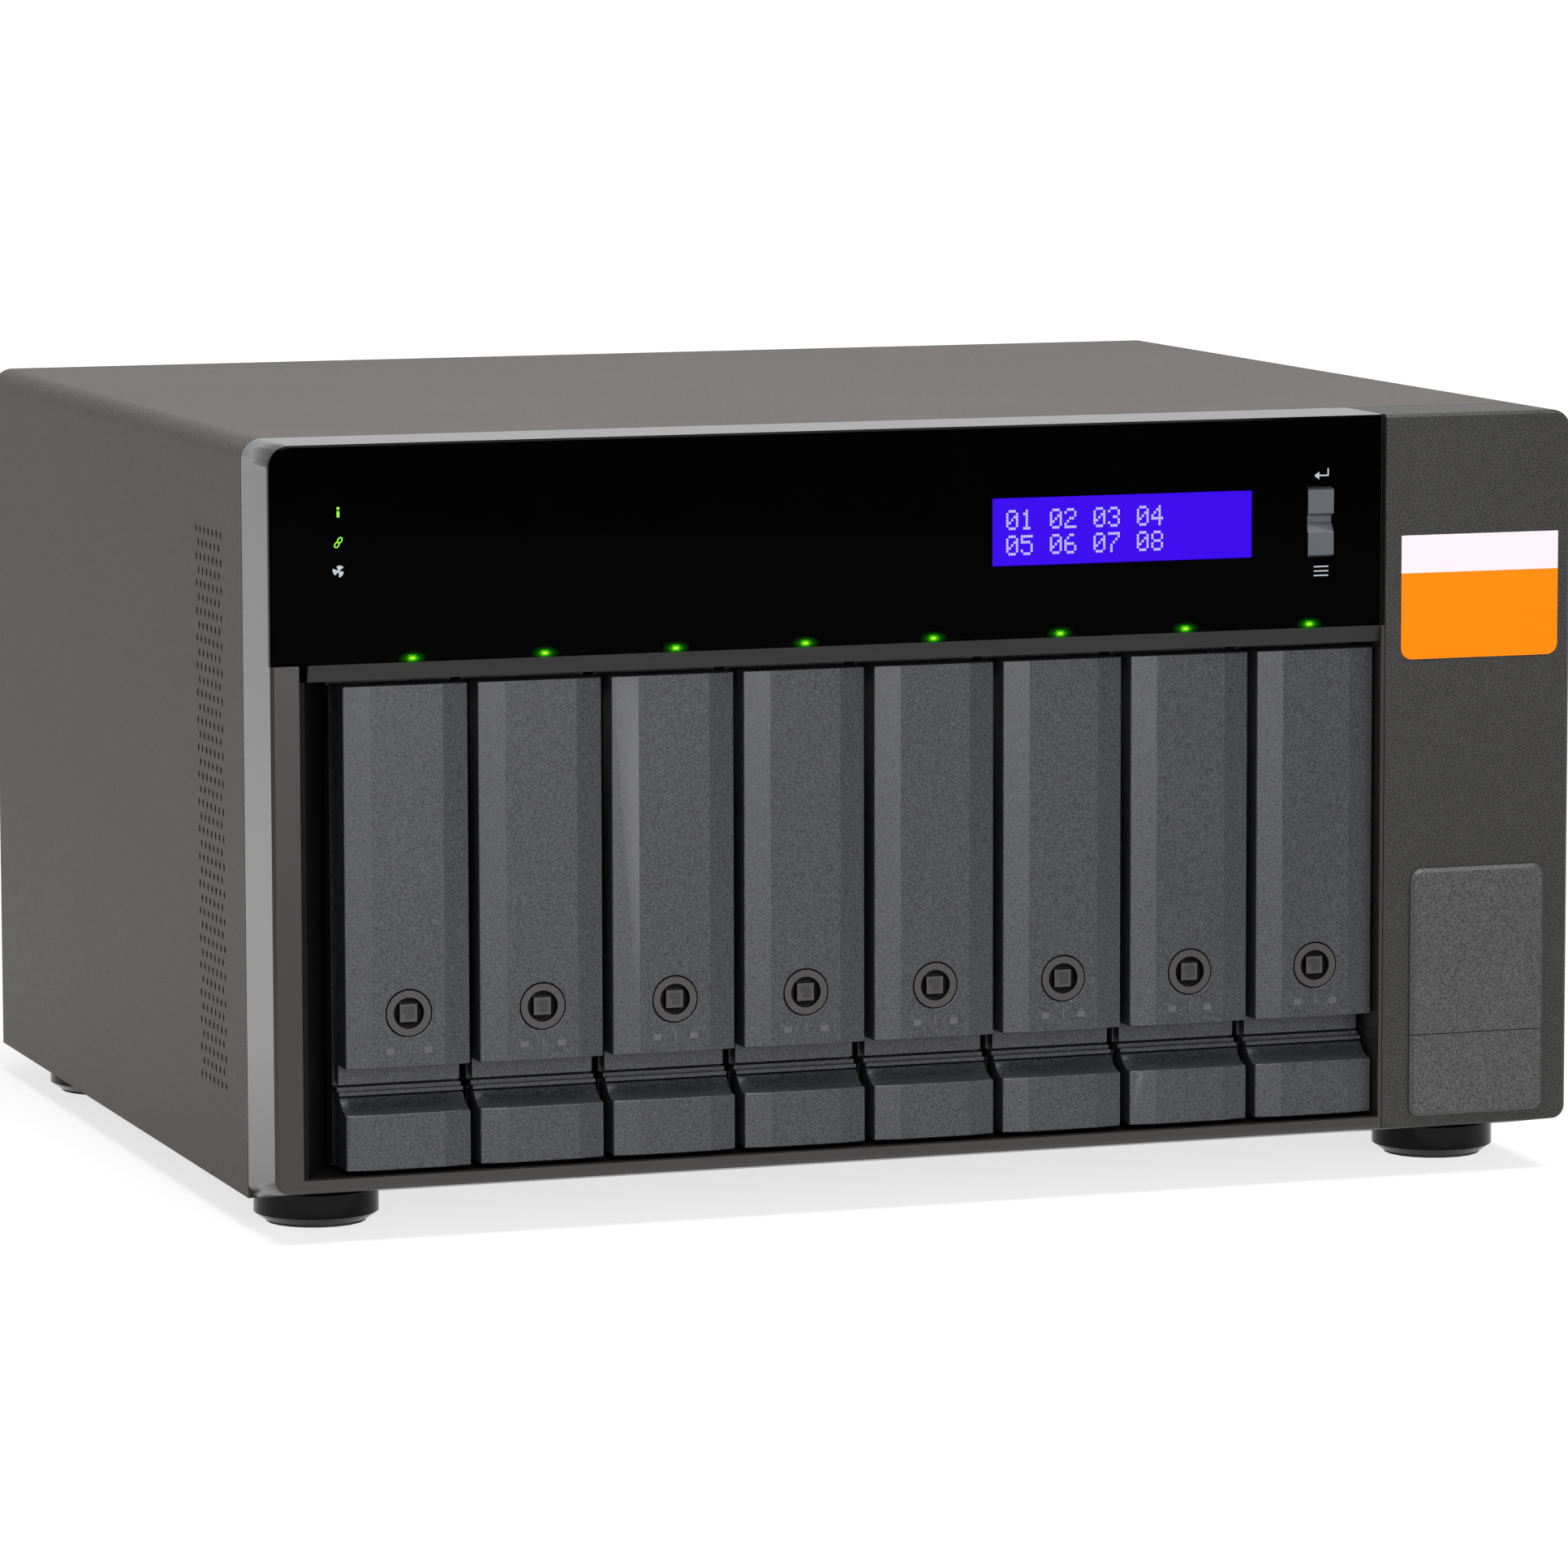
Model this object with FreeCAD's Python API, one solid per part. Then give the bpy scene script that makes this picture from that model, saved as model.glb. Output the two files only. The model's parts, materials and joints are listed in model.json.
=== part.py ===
"""Desktop disk shelf enclosure with eight drive trays.

Lengths are millimetres.  +Z is up, +X is to the right seen from the front, and the
front faces -Y.  The origin is the middle of the footprint, at the foot of the feet.
"""
import FreeCAD, Part
import math
import os

V = FreeCAD.Vector

# ---- whole enclosure
DEPTH = 279.6            # slide cover to the rear edge of the top cover
FOOT_H = 8.1
SHEET = 1.0              # top cover and rear panel
BASE_SHEET = 1.2
FLANGE_H = 14.0          # turned-up sides of the base
CORNER_R = 5.0           # long outer corners of cover and mouldings
FOOT_CORNER_R = 3.2      # lower outer corners of the mouldings
FIT = 0.3                # clearance between pieces that slide or slip in
PIN_SIDES = 12           # sides that stand for the roundness of pins and lugs
LOCK_SIDES = 20          # the same for the locks
HUB_SIDES = 28           # the same for fans and the power button
PAD_SIDES = 20           # the same for the foot pads
SEAM = 0.4               # joint line between the cover and the mouldings

# ---- moulded front
FRONT_D = 24.8
FRONT_WALL = 2.0
FRONT_LIP_T = 2.5        # thickness behind the front faces
UNDERCUT = 4.9           # rise of the front's underside from back to face
EDGE_BEVEL = 0.8
TONGUE_L = 6.0           # reach of the front's rim into the cover
TONGUE_T = 1.5
TONGUE_LOW = 18.0        # side tongue above the base
TONGUE_END = 10.0        # tongues end this far inside the corners
TONGUE_SEAM = 6.0        # top tongues end this far from the fascia seam
LEFT_POST = 6.79         # bezel's left post, seen from the front
SPLAY = 11.2             # dark splayed space between left post and first tray
FASCIA_W = 49.15
FASCIA_GAP = 0.2
RIGHT_WALL = 0.9         # thin wall of the bezel beside the fascia

# ---- drive trays
TRAY_COUNT = 8
TRAY_W = 30.35
TRAY_GAP = 2.48
TRAY_SIDE_GAP = 0.9
TRAY_L = 174.0           # bezel face to the tray's rear end
TRAY_WALL = 1.2
FACE_SET = 2.0           # tray's centre facet behind the bezel face
FACET_W = 6.4
FACET_DROP = 1.0
FACE_GAP_LOW = 1.1
FACE_GAP_HIGH = 1.5
LIP_H = 2.85             # height of the bezel's bottom rail
RELEASE_H = 13.25        # front face of the release button
SCOOP_RISE = 3.3
GRIP_H = 11.0            # finger space between release button and handle
HANDLE_SHORTER = 11.6    # handle's height below that of a disk
HANDLE_T = 8.0
HANDLE_SKIN = 1.3
HANDLE_SIDE = 1.6
HANDLE_END = 2.0         # handle's wall above and below its hollow
CHIN_H = 4.9
CHIN_SET = 9.0           # chin behind the handle's centre facet
CHIN_T = 1.5
PIVOT_SET = 4.0          # handle pin behind the centre facet
PIVOT_DROP = 7.4         # handle pin below the handle's top
PIN_R = 1.2
LUG_R = 2.4
LUG_W = 12.0
CARRIER_SET = 15.0       # carrier front wall behind the bezel face
CARRIER_WALL = 2.5
RUNNER_T = 2.0
WINDOWS = 3              # air windows in a carrier's side
WINDOW_L = 36.0
WINDOW_EDGE = 12.0       # sheet around and between the windows
LEDGE_STEP = 1.8         # carrier's ledge is this much nearer above than below
DISK_H = 101.8           # a 3.5 inch disk standing on its side, with play
RELEASE_TRAVEL = 2.0
STEM_W = 10.0
STEM_H = 7.0
STEM_L = 9.0

# ---- key lock in each handle
LOCK_R = 5.4
LOCK_RISE = 12.8         # lock axis above the handle's lower edge
BOSS_WALL = 1.4          # handle's block around the lock
KEYHOLE_R = 3.75
KEYHOLE_D = 2.4
KEY_POST = 4.2
CAM_L = 8.5
CAM_T = 1.4

# ---- drive cage and backplane
CAGE_SHEET = 1.2
RIB_T = 1.2
RIB_H = 4.0
SPLAY_D = 15.0           # depth of the splayed wall left of the trays
CAGE_CLEAR = 0.4         # tray runners to cage floor and ceiling
BOARD_T = 1.6
SOCKET_L = 42.0
SOCKET_W = 6.0
SOCKET_D = 8.0
SOCKET_RISE = 8.0        # socket above the disk's lower side
BOARD_MARGIN = 8.0       # backplane board above the sockets
SOCKET_GAP = 4.0         # tray's rear end to the sockets

# ---- display panel above the trays
BROW_H = 4.0             # ledge between trays and panel
BROW_SET = 0.6           # ledge's face behind the bezel face at its top
BROW_SLOPE = 1.2         # and this much farther back at its foot
BROW_START = 2.4         # dark slit between left post and ledge
BROW_SLIT_D = 14.0
PANEL_H = 51.2
PANEL_GAP = 0.1
PANEL_T = 2.1
PANEL_BEVEL = 0.5
BACKING_T = 2.5
LCD_W = 66.9
LCD_H = 16.3
LCD_RIGHT = 35.0         # display's right edge to the fascia seam
LCD_DROP = 17.4          # display's top below the panel's top
LCD_RIM_X = 6.0          # display module beside its glass
LCD_RIM_Z = 4.0          # display module above and below its glass
ROCKER_W = 6.7
ROCKER_H = 17.0
ROCKER_RIGHT = 13.7
ROCKER_NOTCH = 1.6
ROCKER_PIN_R = 1.0
ROCKER_PIN_SET = 1.8     # pin behind the backing
ROCKER_EASE = 1.2        # sloped ends of the key
EAR_GAP = 1.5            # middle of each pin ear beside the key
EAR_T = 1.6
EAR_H = 5.0
EAR_REACH = 4.0
ROCKER_PLAY = 0.5        # room above and below the key for its tilt
LED_W = 1.8
LED_H = 1.4
LED_PITCH = 32.28        # a little less than the trays' pitch
LED_START = 1.0          # first indicator to the right of the first tray's middle
BOARD_SET = 10.0         # display board behind the panel's face
BOARD_INSET = 6.5        # display board inside the moulding
BOARD_PLUG_X = 30.0      # cable plug from the board's left end
BOARD_PLUG_W = 20.0
BOARD_PLUG_H = 8.0
BOARD_PLUG_D = 6.0

# ---- slide cover and lower plate on the fascia
DOOR_PROUD = 1.6
DOOR_W = 35.6
DOOR_R = 3.0
PLATE_R = 2.3
DOOR_BEVEL = 0.9
COVER_H = 40.8
PLATE_H = 20.2
PLATE_Z = 15.6
POCKET_MARGIN = 3.6      # pocket's edges inside the slide cover's edges
POCKET_D = 12.0
POCKET_RIM = 2.0         # pocket's ends inside the slide cover's ends
TUB_WALL = 2.0
HOOK_T = 1.6
HOOK_H = 3.0
HOOK_REACH = 1.8
BUTTON_R = 4.5
BUTTON_RIM = 1.2
BUTTON_PROUD = 2.5
PEG_W = 3.0
PEG_INSET = 5.5
LABEL_W = 41.5
LABEL_H = 30.3
LABEL_Z = 128.3
LABEL_T = 0.2
LABEL_R = 2.8

# ---- rear
REAR_SET = 3.0           # rear panel inside the cover's rear edge
FAN_SIZE = 120.0
FAN_T = 25.0
FAN_CORNER = 4.0
FAN_RIM = 2.5            # frame around the bore at its thinnest
FAN_HUB_R = 20.0
FAN_TIP_GAP = 1.0
FAN_BLADES = 7
BLADE_T = 1.6
FAN_SPACING = 124.0
FAN_RISE = 14.0          # fans' lower edge above the base
FAN_SHAFT_R = 1.5
STRUT_W = 4.0
GRILLE_ROWS = 9
GRILLE_SLOT = 8.0
GRILLE_WEB = 4.0
PSU_W = 40.5
PSU_H = 81.5
PSU_L = 150.0
PSU_SLOTS = 6            # rear grille
PSU_SLOT = 3.2
PSU_SLOT_W = 28.5
PSU_SLOT_D = 4.0
PSU_SLOT_Z = 38.0
INLET_W = 28.0
INLET_H = 20.4
INLET_WALL = 1.8
INLET_D = 16.0
INLET_RISE = 17.2        # inlet's middle above the base
INLET_CORNER = 4.5
INLET_PINS = 7.0         # outer blades from the middle
INLET_PIN_W = 2.0
PORT_W = 11.0
PORT_H = 26.0
PORT_L = 28.0
PORT_WALL = 1.2
PORT_GAP = 8.0
HOST_BOARD_L = 75.5
HOST_BOARD_LOW = 12.0    # board's edge below the lower port
HOST_BOARD_HIGH = 6.0    # board's edge above the upper port
HOST_CHIP = 22.0
STUD_W = 3.6
STUD_H = 2.5             # board to bracket

# ---- feet
FOOT_R = 15.0
FOOT_INSET_X = 19.75
FOOT_FRONT = 36.8        # front foot centres behind the bezel face
FOOT_REAR = 35.0         # rear foot centres ahead of the cover's rear edge
PAD_R = 12.0
PAD_T = 0.8

# ---- places worked out from the sizes above
TRAY_PITCH = TRAY_W + TRAY_GAP
TRAY_ROW = TRAY_COUNT * TRAY_PITCH - TRAY_GAP
WIDTH = LEFT_POST + SPLAY + TRAY_ROW + TRAY_SIDE_GAP + RIGHT_WALL + FASCIA_GAP + FASCIA_W
LEFT_X = -WIDTH / 2
RIGHT_X = WIDTH / 2
FACE_Y = -DEPTH / 2 + DOOR_PROUD
REAR_Y = DEPTH / 2
COVER_Y = FACE_Y + FRONT_D
PANEL_Y = REAR_Y - REAR_SET - SHEET
SEAM_X = RIGHT_X - FASCIA_W
MOUTH_X1 = SEAM_X - FASCIA_GAP - RIGHT_WALL
LAST_TRAY_X = MOUTH_X1 - TRAY_SIDE_GAP - TRAY_W / 2
FIRST_TRAY_X = LAST_TRAY_X - (TRAY_COUNT - 1) * TRAY_PITCH
TRAY_XS = [FIRST_TRAY_X + i * TRAY_PITCH for i in range(TRAY_COUNT)]
MOUTH_X0 = FIRST_TRAY_X - TRAY_W / 2 - SPLAY
MOUTH_Z0 = FOOT_H + UNDERCUT + LIP_H
TRAY_Z0 = MOUTH_Z0 + FACE_GAP_LOW
RELEASE_Z1 = TRAY_Z0 + RELEASE_H
RELEASE_BACK = CARRIER_SET - FACE_SET - RELEASE_TRAVEL - 0.5
STEM_Z = TRAY_Z0 + RELEASE_H / 2
HANDLE_Z0 = RELEASE_Z1 + GRIP_H
HANDLE_Z1 = HANDLE_Z0 + DISK_H - HANDLE_SHORTER
MOUTH_Z1 = HANDLE_Z1 + FACE_GAP_HIGH
CHIN_Z = HANDLE_Z0 - CHIN_H
PIVOT_Z = HANDLE_Z1 - PIVOT_DROP
PIVOT_D = FACE_SET + PIVOT_SET
LOCK_Z = HANDLE_Z0 + LOCK_RISE
CAGE_FLOOR = MOUTH_Z0
CAGE_CEILING = MOUTH_Z1 + 0.1
RUNNER_Z0 = CAGE_FLOOR + CAGE_CLEAR
RUNNER_Z1 = CAGE_CEILING - CAGE_CLEAR
DISK_Z0 = (RUNNER_Z0 + RUNNER_Z1 - DISK_H) / 2
CAGE_X0 = FIRST_TRAY_X - TRAY_W / 2 - TRAY_GAP / 2
CAGE_X1 = LAST_TRAY_X + TRAY_W / 2 + 0.5
BACKPLANE_D = TRAY_L + SOCKET_GAP + SOCKET_D
PANEL_Z0 = MOUTH_Z1 + BROW_H + PANEL_GAP
HEIGHT = PANEL_Z0 + PANEL_H
BASE_TOP = FOOT_H + BASE_SHEET
DOOR_X = (SEAM_X + RIGHT_X) / 2 + 0.1
COVER_Z0 = PLATE_Z + PLATE_H + 0.2
PSU_X = (SEAM_X + RIGHT_X) / 2 - 1.5
INLET_Z = BASE_TOP + INLET_RISE
FAN_Z = BASE_TOP + FAN_SIZE / 2 + FAN_RISE
FAN_BORE_R = FAN_SIZE / 2 - FAN_RIM
FAN_MIDDLE = (LEFT_X + PSU_X - PSU_W / 2) / 2
FAN_XS = [FAN_MIDDLE - FAN_SPACING / 2, FAN_MIDDLE + FAN_SPACING / 2]
PORT_X = PSU_X + 5.0
PORT_Z = BASE_TOP + PSU_H + 20.0
FOOT_XS = [LEFT_X + FOOT_INSET_X, RIGHT_X - FOOT_INSET_X]
FOOT_YS = [FACE_Y + FOOT_FRONT, REAR_Y - FOOT_REAR]
ROCKER_X = SEAM_X - ROCKER_RIGHT - ROCKER_W / 2
LCD_X0 = SEAM_X - LCD_RIGHT - LCD_W
LCD_Z1 = HEIGHT - LCD_DROP
ROCKER_Z = LCD_Z1 + 0.2 - ROCKER_H / 2


# ---- small geometry helpers
def deep(distance):
    """Y of a plane that lies this far behind the bezel face."""
    return FACE_Y + distance


def block(x, y, z):
    """Box between three (low, high) pairs."""
    return Part.makeBox(x[1] - x[0], y[1] - y[0], z[1] - z[0], V(x[0], y[0], z[0]))


def around(middle, size):
    """(low, high) pair of a length centred on a place."""
    return (middle - size / 2, middle + size / 2)


def prism(points, direction):
    """Straight extrusion of a closed polygon."""
    outline = Part.makePolygon(points + [points[0]])
    return Part.Face(outline).extrude(direction)


def bar(radius, sides, start, end):
    """Many-sided bar between two points; its corners lie on the radius."""
    along = end - start
    first = V(0, 0, 1) if abs(along.z) < 0.5 * along.Length else V(1, 0, 0)
    second = along.cross(first).normalize()
    points = []
    for i in range(sides):
        turn = 2 * math.pi * (i + 0.5) / sides
        points.append(start + (first * math.cos(turn) + second * math.sin(turn)) * radius)
    return prism(points, along)


def rod(radius, start, end):
    """Round bar between two points."""
    along = end - start
    return Part.makeCylinder(radius, along.Length, start, along)


def faceted(rings):
    """Closed solid of flat triangles through rings of four corners each."""
    def triangle(a, b, c):
        return Part.Face(Part.makePolygon([a, b, c, a]))
    first, last = rings[0], rings[-1]
    faces = [triangle(first[0], first[2], first[1]), triangle(first[0], first[3], first[2]),
             triangle(last[0], last[1], last[2]), triangle(last[0], last[2], last[3])]
    for low, high in zip(rings, rings[1:]):
        for i in range(4):
            j = (i + 1) % 4
            faces.append(triangle(low[i], low[j], high[j]))
            faces.append(triangle(low[i], high[j], high[i]))
    return Part.Solid(Part.Shell(faces))


def join(pieces):
    """One solid out of pieces that meet or overlap."""
    return pieces[0].fuse(pieces[1:]).removeSplitter()


def group(pieces):
    """Separate solids kept in one node."""
    return Part.makeCompound(pieces)


def moved(shape, x=0.0, y=0.0, z=0.0):
    """Copy of a shape at another place."""
    copy = shape.copy()
    copy.translate(V(x, y, z))
    return copy


def edges_along(shape, axis, keep=lambda edge: True):
    """Straight edges of a shape that run along an axis."""
    found = []
    for edge in shape.Edges:
        if not isinstance(edge.Curve, Part.Line):
            continue
        if abs(edge.Curve.Direction.dot(axis)) > 0.999 and keep(edge):
            found.append(edge)
    return found


def save(name, shape):
    shape.exportStep("parts/" + name + ".step")


# ---- sheet metal
def cover_outline(inset, y):
    """Closed outline of the cover's outside, moved inwards by an inset."""
    radius = CORNER_R - inset
    body = block((LEFT_X + inset, RIGHT_X - inset), y, (FOOT_H, HEIGHT - inset))
    top = edges_along(body, V(0, 1, 0), lambda edge: edge.CenterOfMass.z > HEIGHT / 2)
    return body.makeFillet(radius, top)


def top_cover():
    """U-shaped lid: top and both sides in one bent sheet."""
    outside = cover_outline(0, (COVER_Y + SEAM, REAR_Y))
    inside = moved(cover_outline(SHEET, (COVER_Y, REAR_Y + 1)), z=-0.001)
    slot = block((LEFT_X + SHEET, RIGHT_X - SHEET), (COVER_Y, REAR_Y + 1), (0, FOOT_H + 1))
    return outside.cut(inside).cut(slot)


def base_pan():
    """Bottom sheet with turned-up sides inside the cover."""
    side = SHEET + 0.2
    x = (LEFT_X + side, RIGHT_X - side)
    y = (COVER_Y + SEAM + TONGUE_L + 1, REAR_Y - 0.4)
    floor = block(x, (COVER_Y + SEAM, y[1]), (FOOT_H, BASE_TOP))
    pieces = [floor]
    for low in (x[0], x[1] - BASE_SHEET):
        flange = block((low, low + BASE_SHEET), (y[0], PANEL_Y - 0.2), (FOOT_H, BASE_TOP + FLANGE_H))
        pieces.append(flange)
    return join(pieces)


def fan_slots(x, y):
    """Straight slots of one fan grille in two columns, as wide as the fan's bore allows."""
    slots = []
    rim = FAN_BORE_R - 2
    for row in range(GRILLE_ROWS):
        rise = (row - (GRILLE_ROWS - 1) / 2) * (GRILLE_SLOT + GRILLE_WEB)
        reach = math.sqrt(rim ** 2 - (abs(rise) + GRILLE_SLOT / 2) ** 2)
        z = around(FAN_Z + rise, GRILLE_SLOT)
        slots.append(block((x - reach, x - GRILLE_WEB / 2), y, z))
        slots.append(block((x + GRILLE_WEB / 2, x + reach), y, z))
    return group(slots)


def rear_panel():
    """Rear sheet with fan grilles and windows for the power supply and ports."""
    inset = SHEET + FIT
    y = (PANEL_Y, PANEL_Y + SHEET)
    cut = (PANEL_Y - 1, PANEL_Y + SHEET + 1)
    sheet = block((LEFT_X + inset, RIGHT_X - inset), y, (BASE_TOP, HEIGHT - inset))
    top = edges_along(sheet, V(0, 1, 0), lambda edge: edge.CenterOfMass.z > HEIGHT / 2)
    sheet = sheet.makeFillet(CORNER_R - inset + 0.5, top)
    for x in FAN_XS:
        sheet = sheet.cut(fan_slots(x, cut))
    window = block(around(PSU_X, PSU_W - 5), cut, (BASE_TOP + 3, BASE_TOP + PSU_H - 3))
    sheet = sheet.cut(window)
    for z in port_heights():
        sheet = sheet.cut(block(around(PORT_X, PORT_W + 0.6), cut, (z - 0.3, z + PORT_H + 0.3)))
    return sheet


# ---- moulded front
def front_shell(x, rounded_side):
    """Outer form of a front moulding: sloped underside, rounded outer corners."""
    points = [
        V(x[0], FACE_Y, FOOT_H + UNDERCUT),
        V(x[0], COVER_Y, FOOT_H),
        V(x[0], COVER_Y, HEIGHT),
        V(x[0], FACE_Y, HEIGHT),
    ]
    body = prism(points, V(x[1] - x[0], 0, 0))
    outer = [e for e in body.Edges if abs(e.CenterOfMass.x - rounded_side) < 0.01]
    long_ones = [e for e in outer if e.BoundBox.YLength > FRONT_D - 1]
    body = body.makeFillet(CORNER_R, [e for e in long_ones if e.CenterOfMass.z > HEIGHT / 2])
    low = [e for e in body.Edges if abs(e.CenterOfMass.x - rounded_side) < 0.01
           and e.BoundBox.YLength > FRONT_D - 1 and e.BoundBox.ZLength > 1]
    body = body.makeFillet(FOOT_CORNER_R, low)
    rim = [e for e in body.Edges if e.BoundBox.YLength < 0.01 and abs(e.CenterOfMass.y - FACE_Y) < 0.01]
    inner_side = x[1] if rounded_side == x[0] else x[0]
    rim = [e for e in rim if abs(e.CenterOfMass.x - inner_side) > 0.01]
    return body.makeChamfer(EDGE_BEVEL, rim)


def front_hollow(x, start, z1):
    """Space behind the front faces, following the sloped underside."""
    def floor(y):
        return FOOT_H + UNDERCUT * (COVER_Y - y) / FRONT_D + FRONT_WALL + 0.1
    back = COVER_Y + 1
    points = [
        V(x[0], deep(start), floor(deep(start))),
        V(x[0], back, floor(back)),
        V(x[0], back, z1),
        V(x[0], deep(start), z1),
    ]
    return prism(points, V(x[1] - x[0], 0, 0))


def brow_space():
    """Wedge of air before the ledge above the trays, whose face slopes back downwards."""
    top = PANEL_Z0
    foot = MOUTH_Z1
    points = [
        V(MOUTH_X0, FACE_Y - 1, top),
        V(MOUTH_X0, FACE_Y - 1, foot),
        V(MOUTH_X0, deep(BROW_SET + BROW_SLOPE), foot),
        V(MOUTH_X0, deep(BROW_SET), top),
    ]
    return prism(points, V(MOUTH_X1 - MOUTH_X0, 0, 0))


def side_tongue(x):
    """Upright rim of a front moulding that slips inside the cover's side."""
    z = (BASE_TOP + TONGUE_LOW, HEIGHT - TONGUE_END)
    return block((x, x + TONGUE_T), (COVER_Y - 1, COVER_Y + TONGUE_L), z)


def top_tongue(x0, x1):
    """Level rim of a front moulding that slips under the cover's top."""
    top = HEIGHT - SHEET - FIT
    return block((x0, x1), (COVER_Y - 1, COVER_Y + TONGUE_L), (top - TONGUE_T, top))


def bezel_frame():
    """Left and upper front moulding around the trays and behind the display panel."""
    x = (LEFT_X, SEAM_X - FASCIA_GAP)
    body = front_shell(x, LEFT_X)
    body = body.cut(front_hollow((LEFT_X + FRONT_WALL, MOUTH_X1), FRONT_LIP_T, MOUTH_Z1))
    mouth = block((MOUTH_X0, MOUTH_X1), (FACE_Y - 1, deep(FRONT_LIP_T) + 1), (MOUTH_Z0, MOUTH_Z1))
    body = body.cut(mouth)
    seat = block((LEFT_X - 1, SEAM_X), (FACE_Y - 1, deep(PANEL_T)), (PANEL_Z0 - 0.1, HEIGHT + 1))
    body = body.cut(seat).cut(brow_space())
    slit = block((MOUTH_X0, MOUTH_X0 + BROW_START), (FACE_Y - 1, deep(BROW_SLIT_D)),
                 (MOUTH_Z1 - 1, PANEL_Z0 - PANEL_GAP))
    body = body.cut(slit)
    backing = PANEL_T + BACKING_T
    upper = (PANEL_Z0 - 0.1, HEIGHT - FRONT_WALL - 0.5)
    body = body.cut(block((LEFT_X + FRONT_WALL, MOUTH_X1), (deep(backing), COVER_Y + 1), upper))
    through = (deep(PANEL_T) - 1, deep(backing) + 1)
    body = body.cut(block((LCD_X0, LCD_X0 + LCD_W), through, (LCD_Z1 - LCD_H, LCD_Z1)))
    body = body.cut(rocker_window(through))
    for hole in led_blocks(0.15, through):
        body = body.cut(hole)
    pieces = [body]
    for side in (-1, 1):
        ear = block(around(ROCKER_X + side * (ROCKER_W / 2 + EAR_GAP), EAR_T),
                    (deep(backing) - 0.5, deep(backing) + EAR_REACH), around(ROCKER_Z, EAR_H))
        pieces.append(ear.cut(rocker_pin(FIT)))
    pieces.append(side_tongue(LEFT_X + SHEET + FIT))
    pieces.append(top_tongue(LEFT_X + TONGUE_END, SEAM_X - TONGUE_SEAM))
    return join(pieces)


def side_fascia():
    """Right front moulding with the pocket behind the slide cover."""
    x = (SEAM_X, RIGHT_X)
    body = front_shell(x, RIGHT_X)
    inner = (SEAM_X + FRONT_WALL, RIGHT_X - FRONT_WALL)
    body = body.cut(front_hollow(inner, FRONT_LIP_T, HEIGHT - FRONT_WALL - 0.5))
    pocket_x = around(DOOR_X, DOOR_W - 2 * POCKET_MARGIN)
    pocket_z = (COVER_Z0 + POCKET_RIM, COVER_Z0 + COVER_H - POCKET_RIM)
    tub = block((pocket_x[0] - 2 * TUB_WALL, pocket_x[1] + 2 * TUB_WALL),
                (FACE_Y + 1, deep(POCKET_D + TUB_WALL)),
                (pocket_z[0] - TUB_WALL, pocket_z[1] + TUB_WALL))
    body = body.fuse(tub)
    body = body.cut(block(pocket_x, (FACE_Y - 1, deep(POCKET_D)), pocket_z))
    groove_x = (pocket_x[0] - HOOK_REACH - FIT, pocket_x[1] + HOOK_REACH + FIT)
    body = body.cut(block(groove_x, (deep(FRONT_LIP_T), deep(FRONT_LIP_T + HOOK_T + 2 * FIT)), pocket_z))
    body = body.cut(bar(BUTTON_R + FIT, HUB_SIDES, V(DOOR_X, deep(POCKET_D) - 1, button_height()),
                        V(DOOR_X, deep(POCKET_D + 2 * TUB_WALL), button_height())))
    for hole in plate_pegs(0.1):
        body = body.cut(hole)
    side = side_tongue(RIGHT_X - SHEET - FIT - TONGUE_T)
    return join([body, side, top_tongue(SEAM_X + TONGUE_SEAM, RIGHT_X - TONGUE_END)])


# ---- display panel
def led_blocks(grow, y):
    """One small light guide above each tray."""
    z = (PANEL_Z0 + 0.2 - grow, PANEL_Z0 + 0.2 + LED_H + grow)
    xs = [FIRST_TRAY_X + LED_START + i * LED_PITCH for i in range(TRAY_COUNT)]
    return [block(around(x, LED_W + 2 * grow), y, z) for x in xs]


def rocker_pin(grow):
    y = deep(PANEL_T + BACKING_T) + ROCKER_PIN_SET
    x = around(ROCKER_X, ROCKER_W + 2 * EAR_GAP + EAR_T)
    return bar(ROCKER_PIN_R + grow, PIN_SIDES, V(x[0], y, ROCKER_Z), V(x[1], y, ROCKER_Z))


def rocker_window(y):
    return block(around(ROCKER_X, ROCKER_W + 2 * FIT), y, around(ROCKER_Z, ROCKER_H + 2 * ROCKER_PLAY))


def gloss_panel():
    """Dark glossy panel with windows for the display and the rocker key."""
    x = (LEFT_X, MOUTH_X1 - 0.2)
    y = (FACE_Y, deep(PANEL_T))
    body = block(x, y, (PANEL_Z0, HEIGHT))
    corner = edges_along(body, V(0, 1, 0), lambda e: e.CenterOfMass.x < 0 and e.CenterOfMass.z > HEIGHT - 1)
    body = body.makeFillet(CORNER_R, corner)
    rim = [e for e in body.Edges if e.BoundBox.YLength < 0.01 and abs(e.CenterOfMass.y - FACE_Y) < 0.01
           and e.CenterOfMass.x < x[1] - 0.01]
    body = body.makeChamfer(PANEL_BEVEL, rim)
    cut = (FACE_Y - 1, deep(PANEL_T) + 1)
    body = body.cut(block((LCD_X0, LCD_X0 + LCD_W), cut, (LCD_Z1 - LCD_H, LCD_Z1)))
    body = body.cut(rocker_window(cut))
    for hole in led_blocks(0.1, cut):
        body = body.cut(hole)
    return body


def drive_leds():
    return group(led_blocks(0, (FACE_Y + 0.1, deep(BOARD_SET) - 0.2)))


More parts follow.
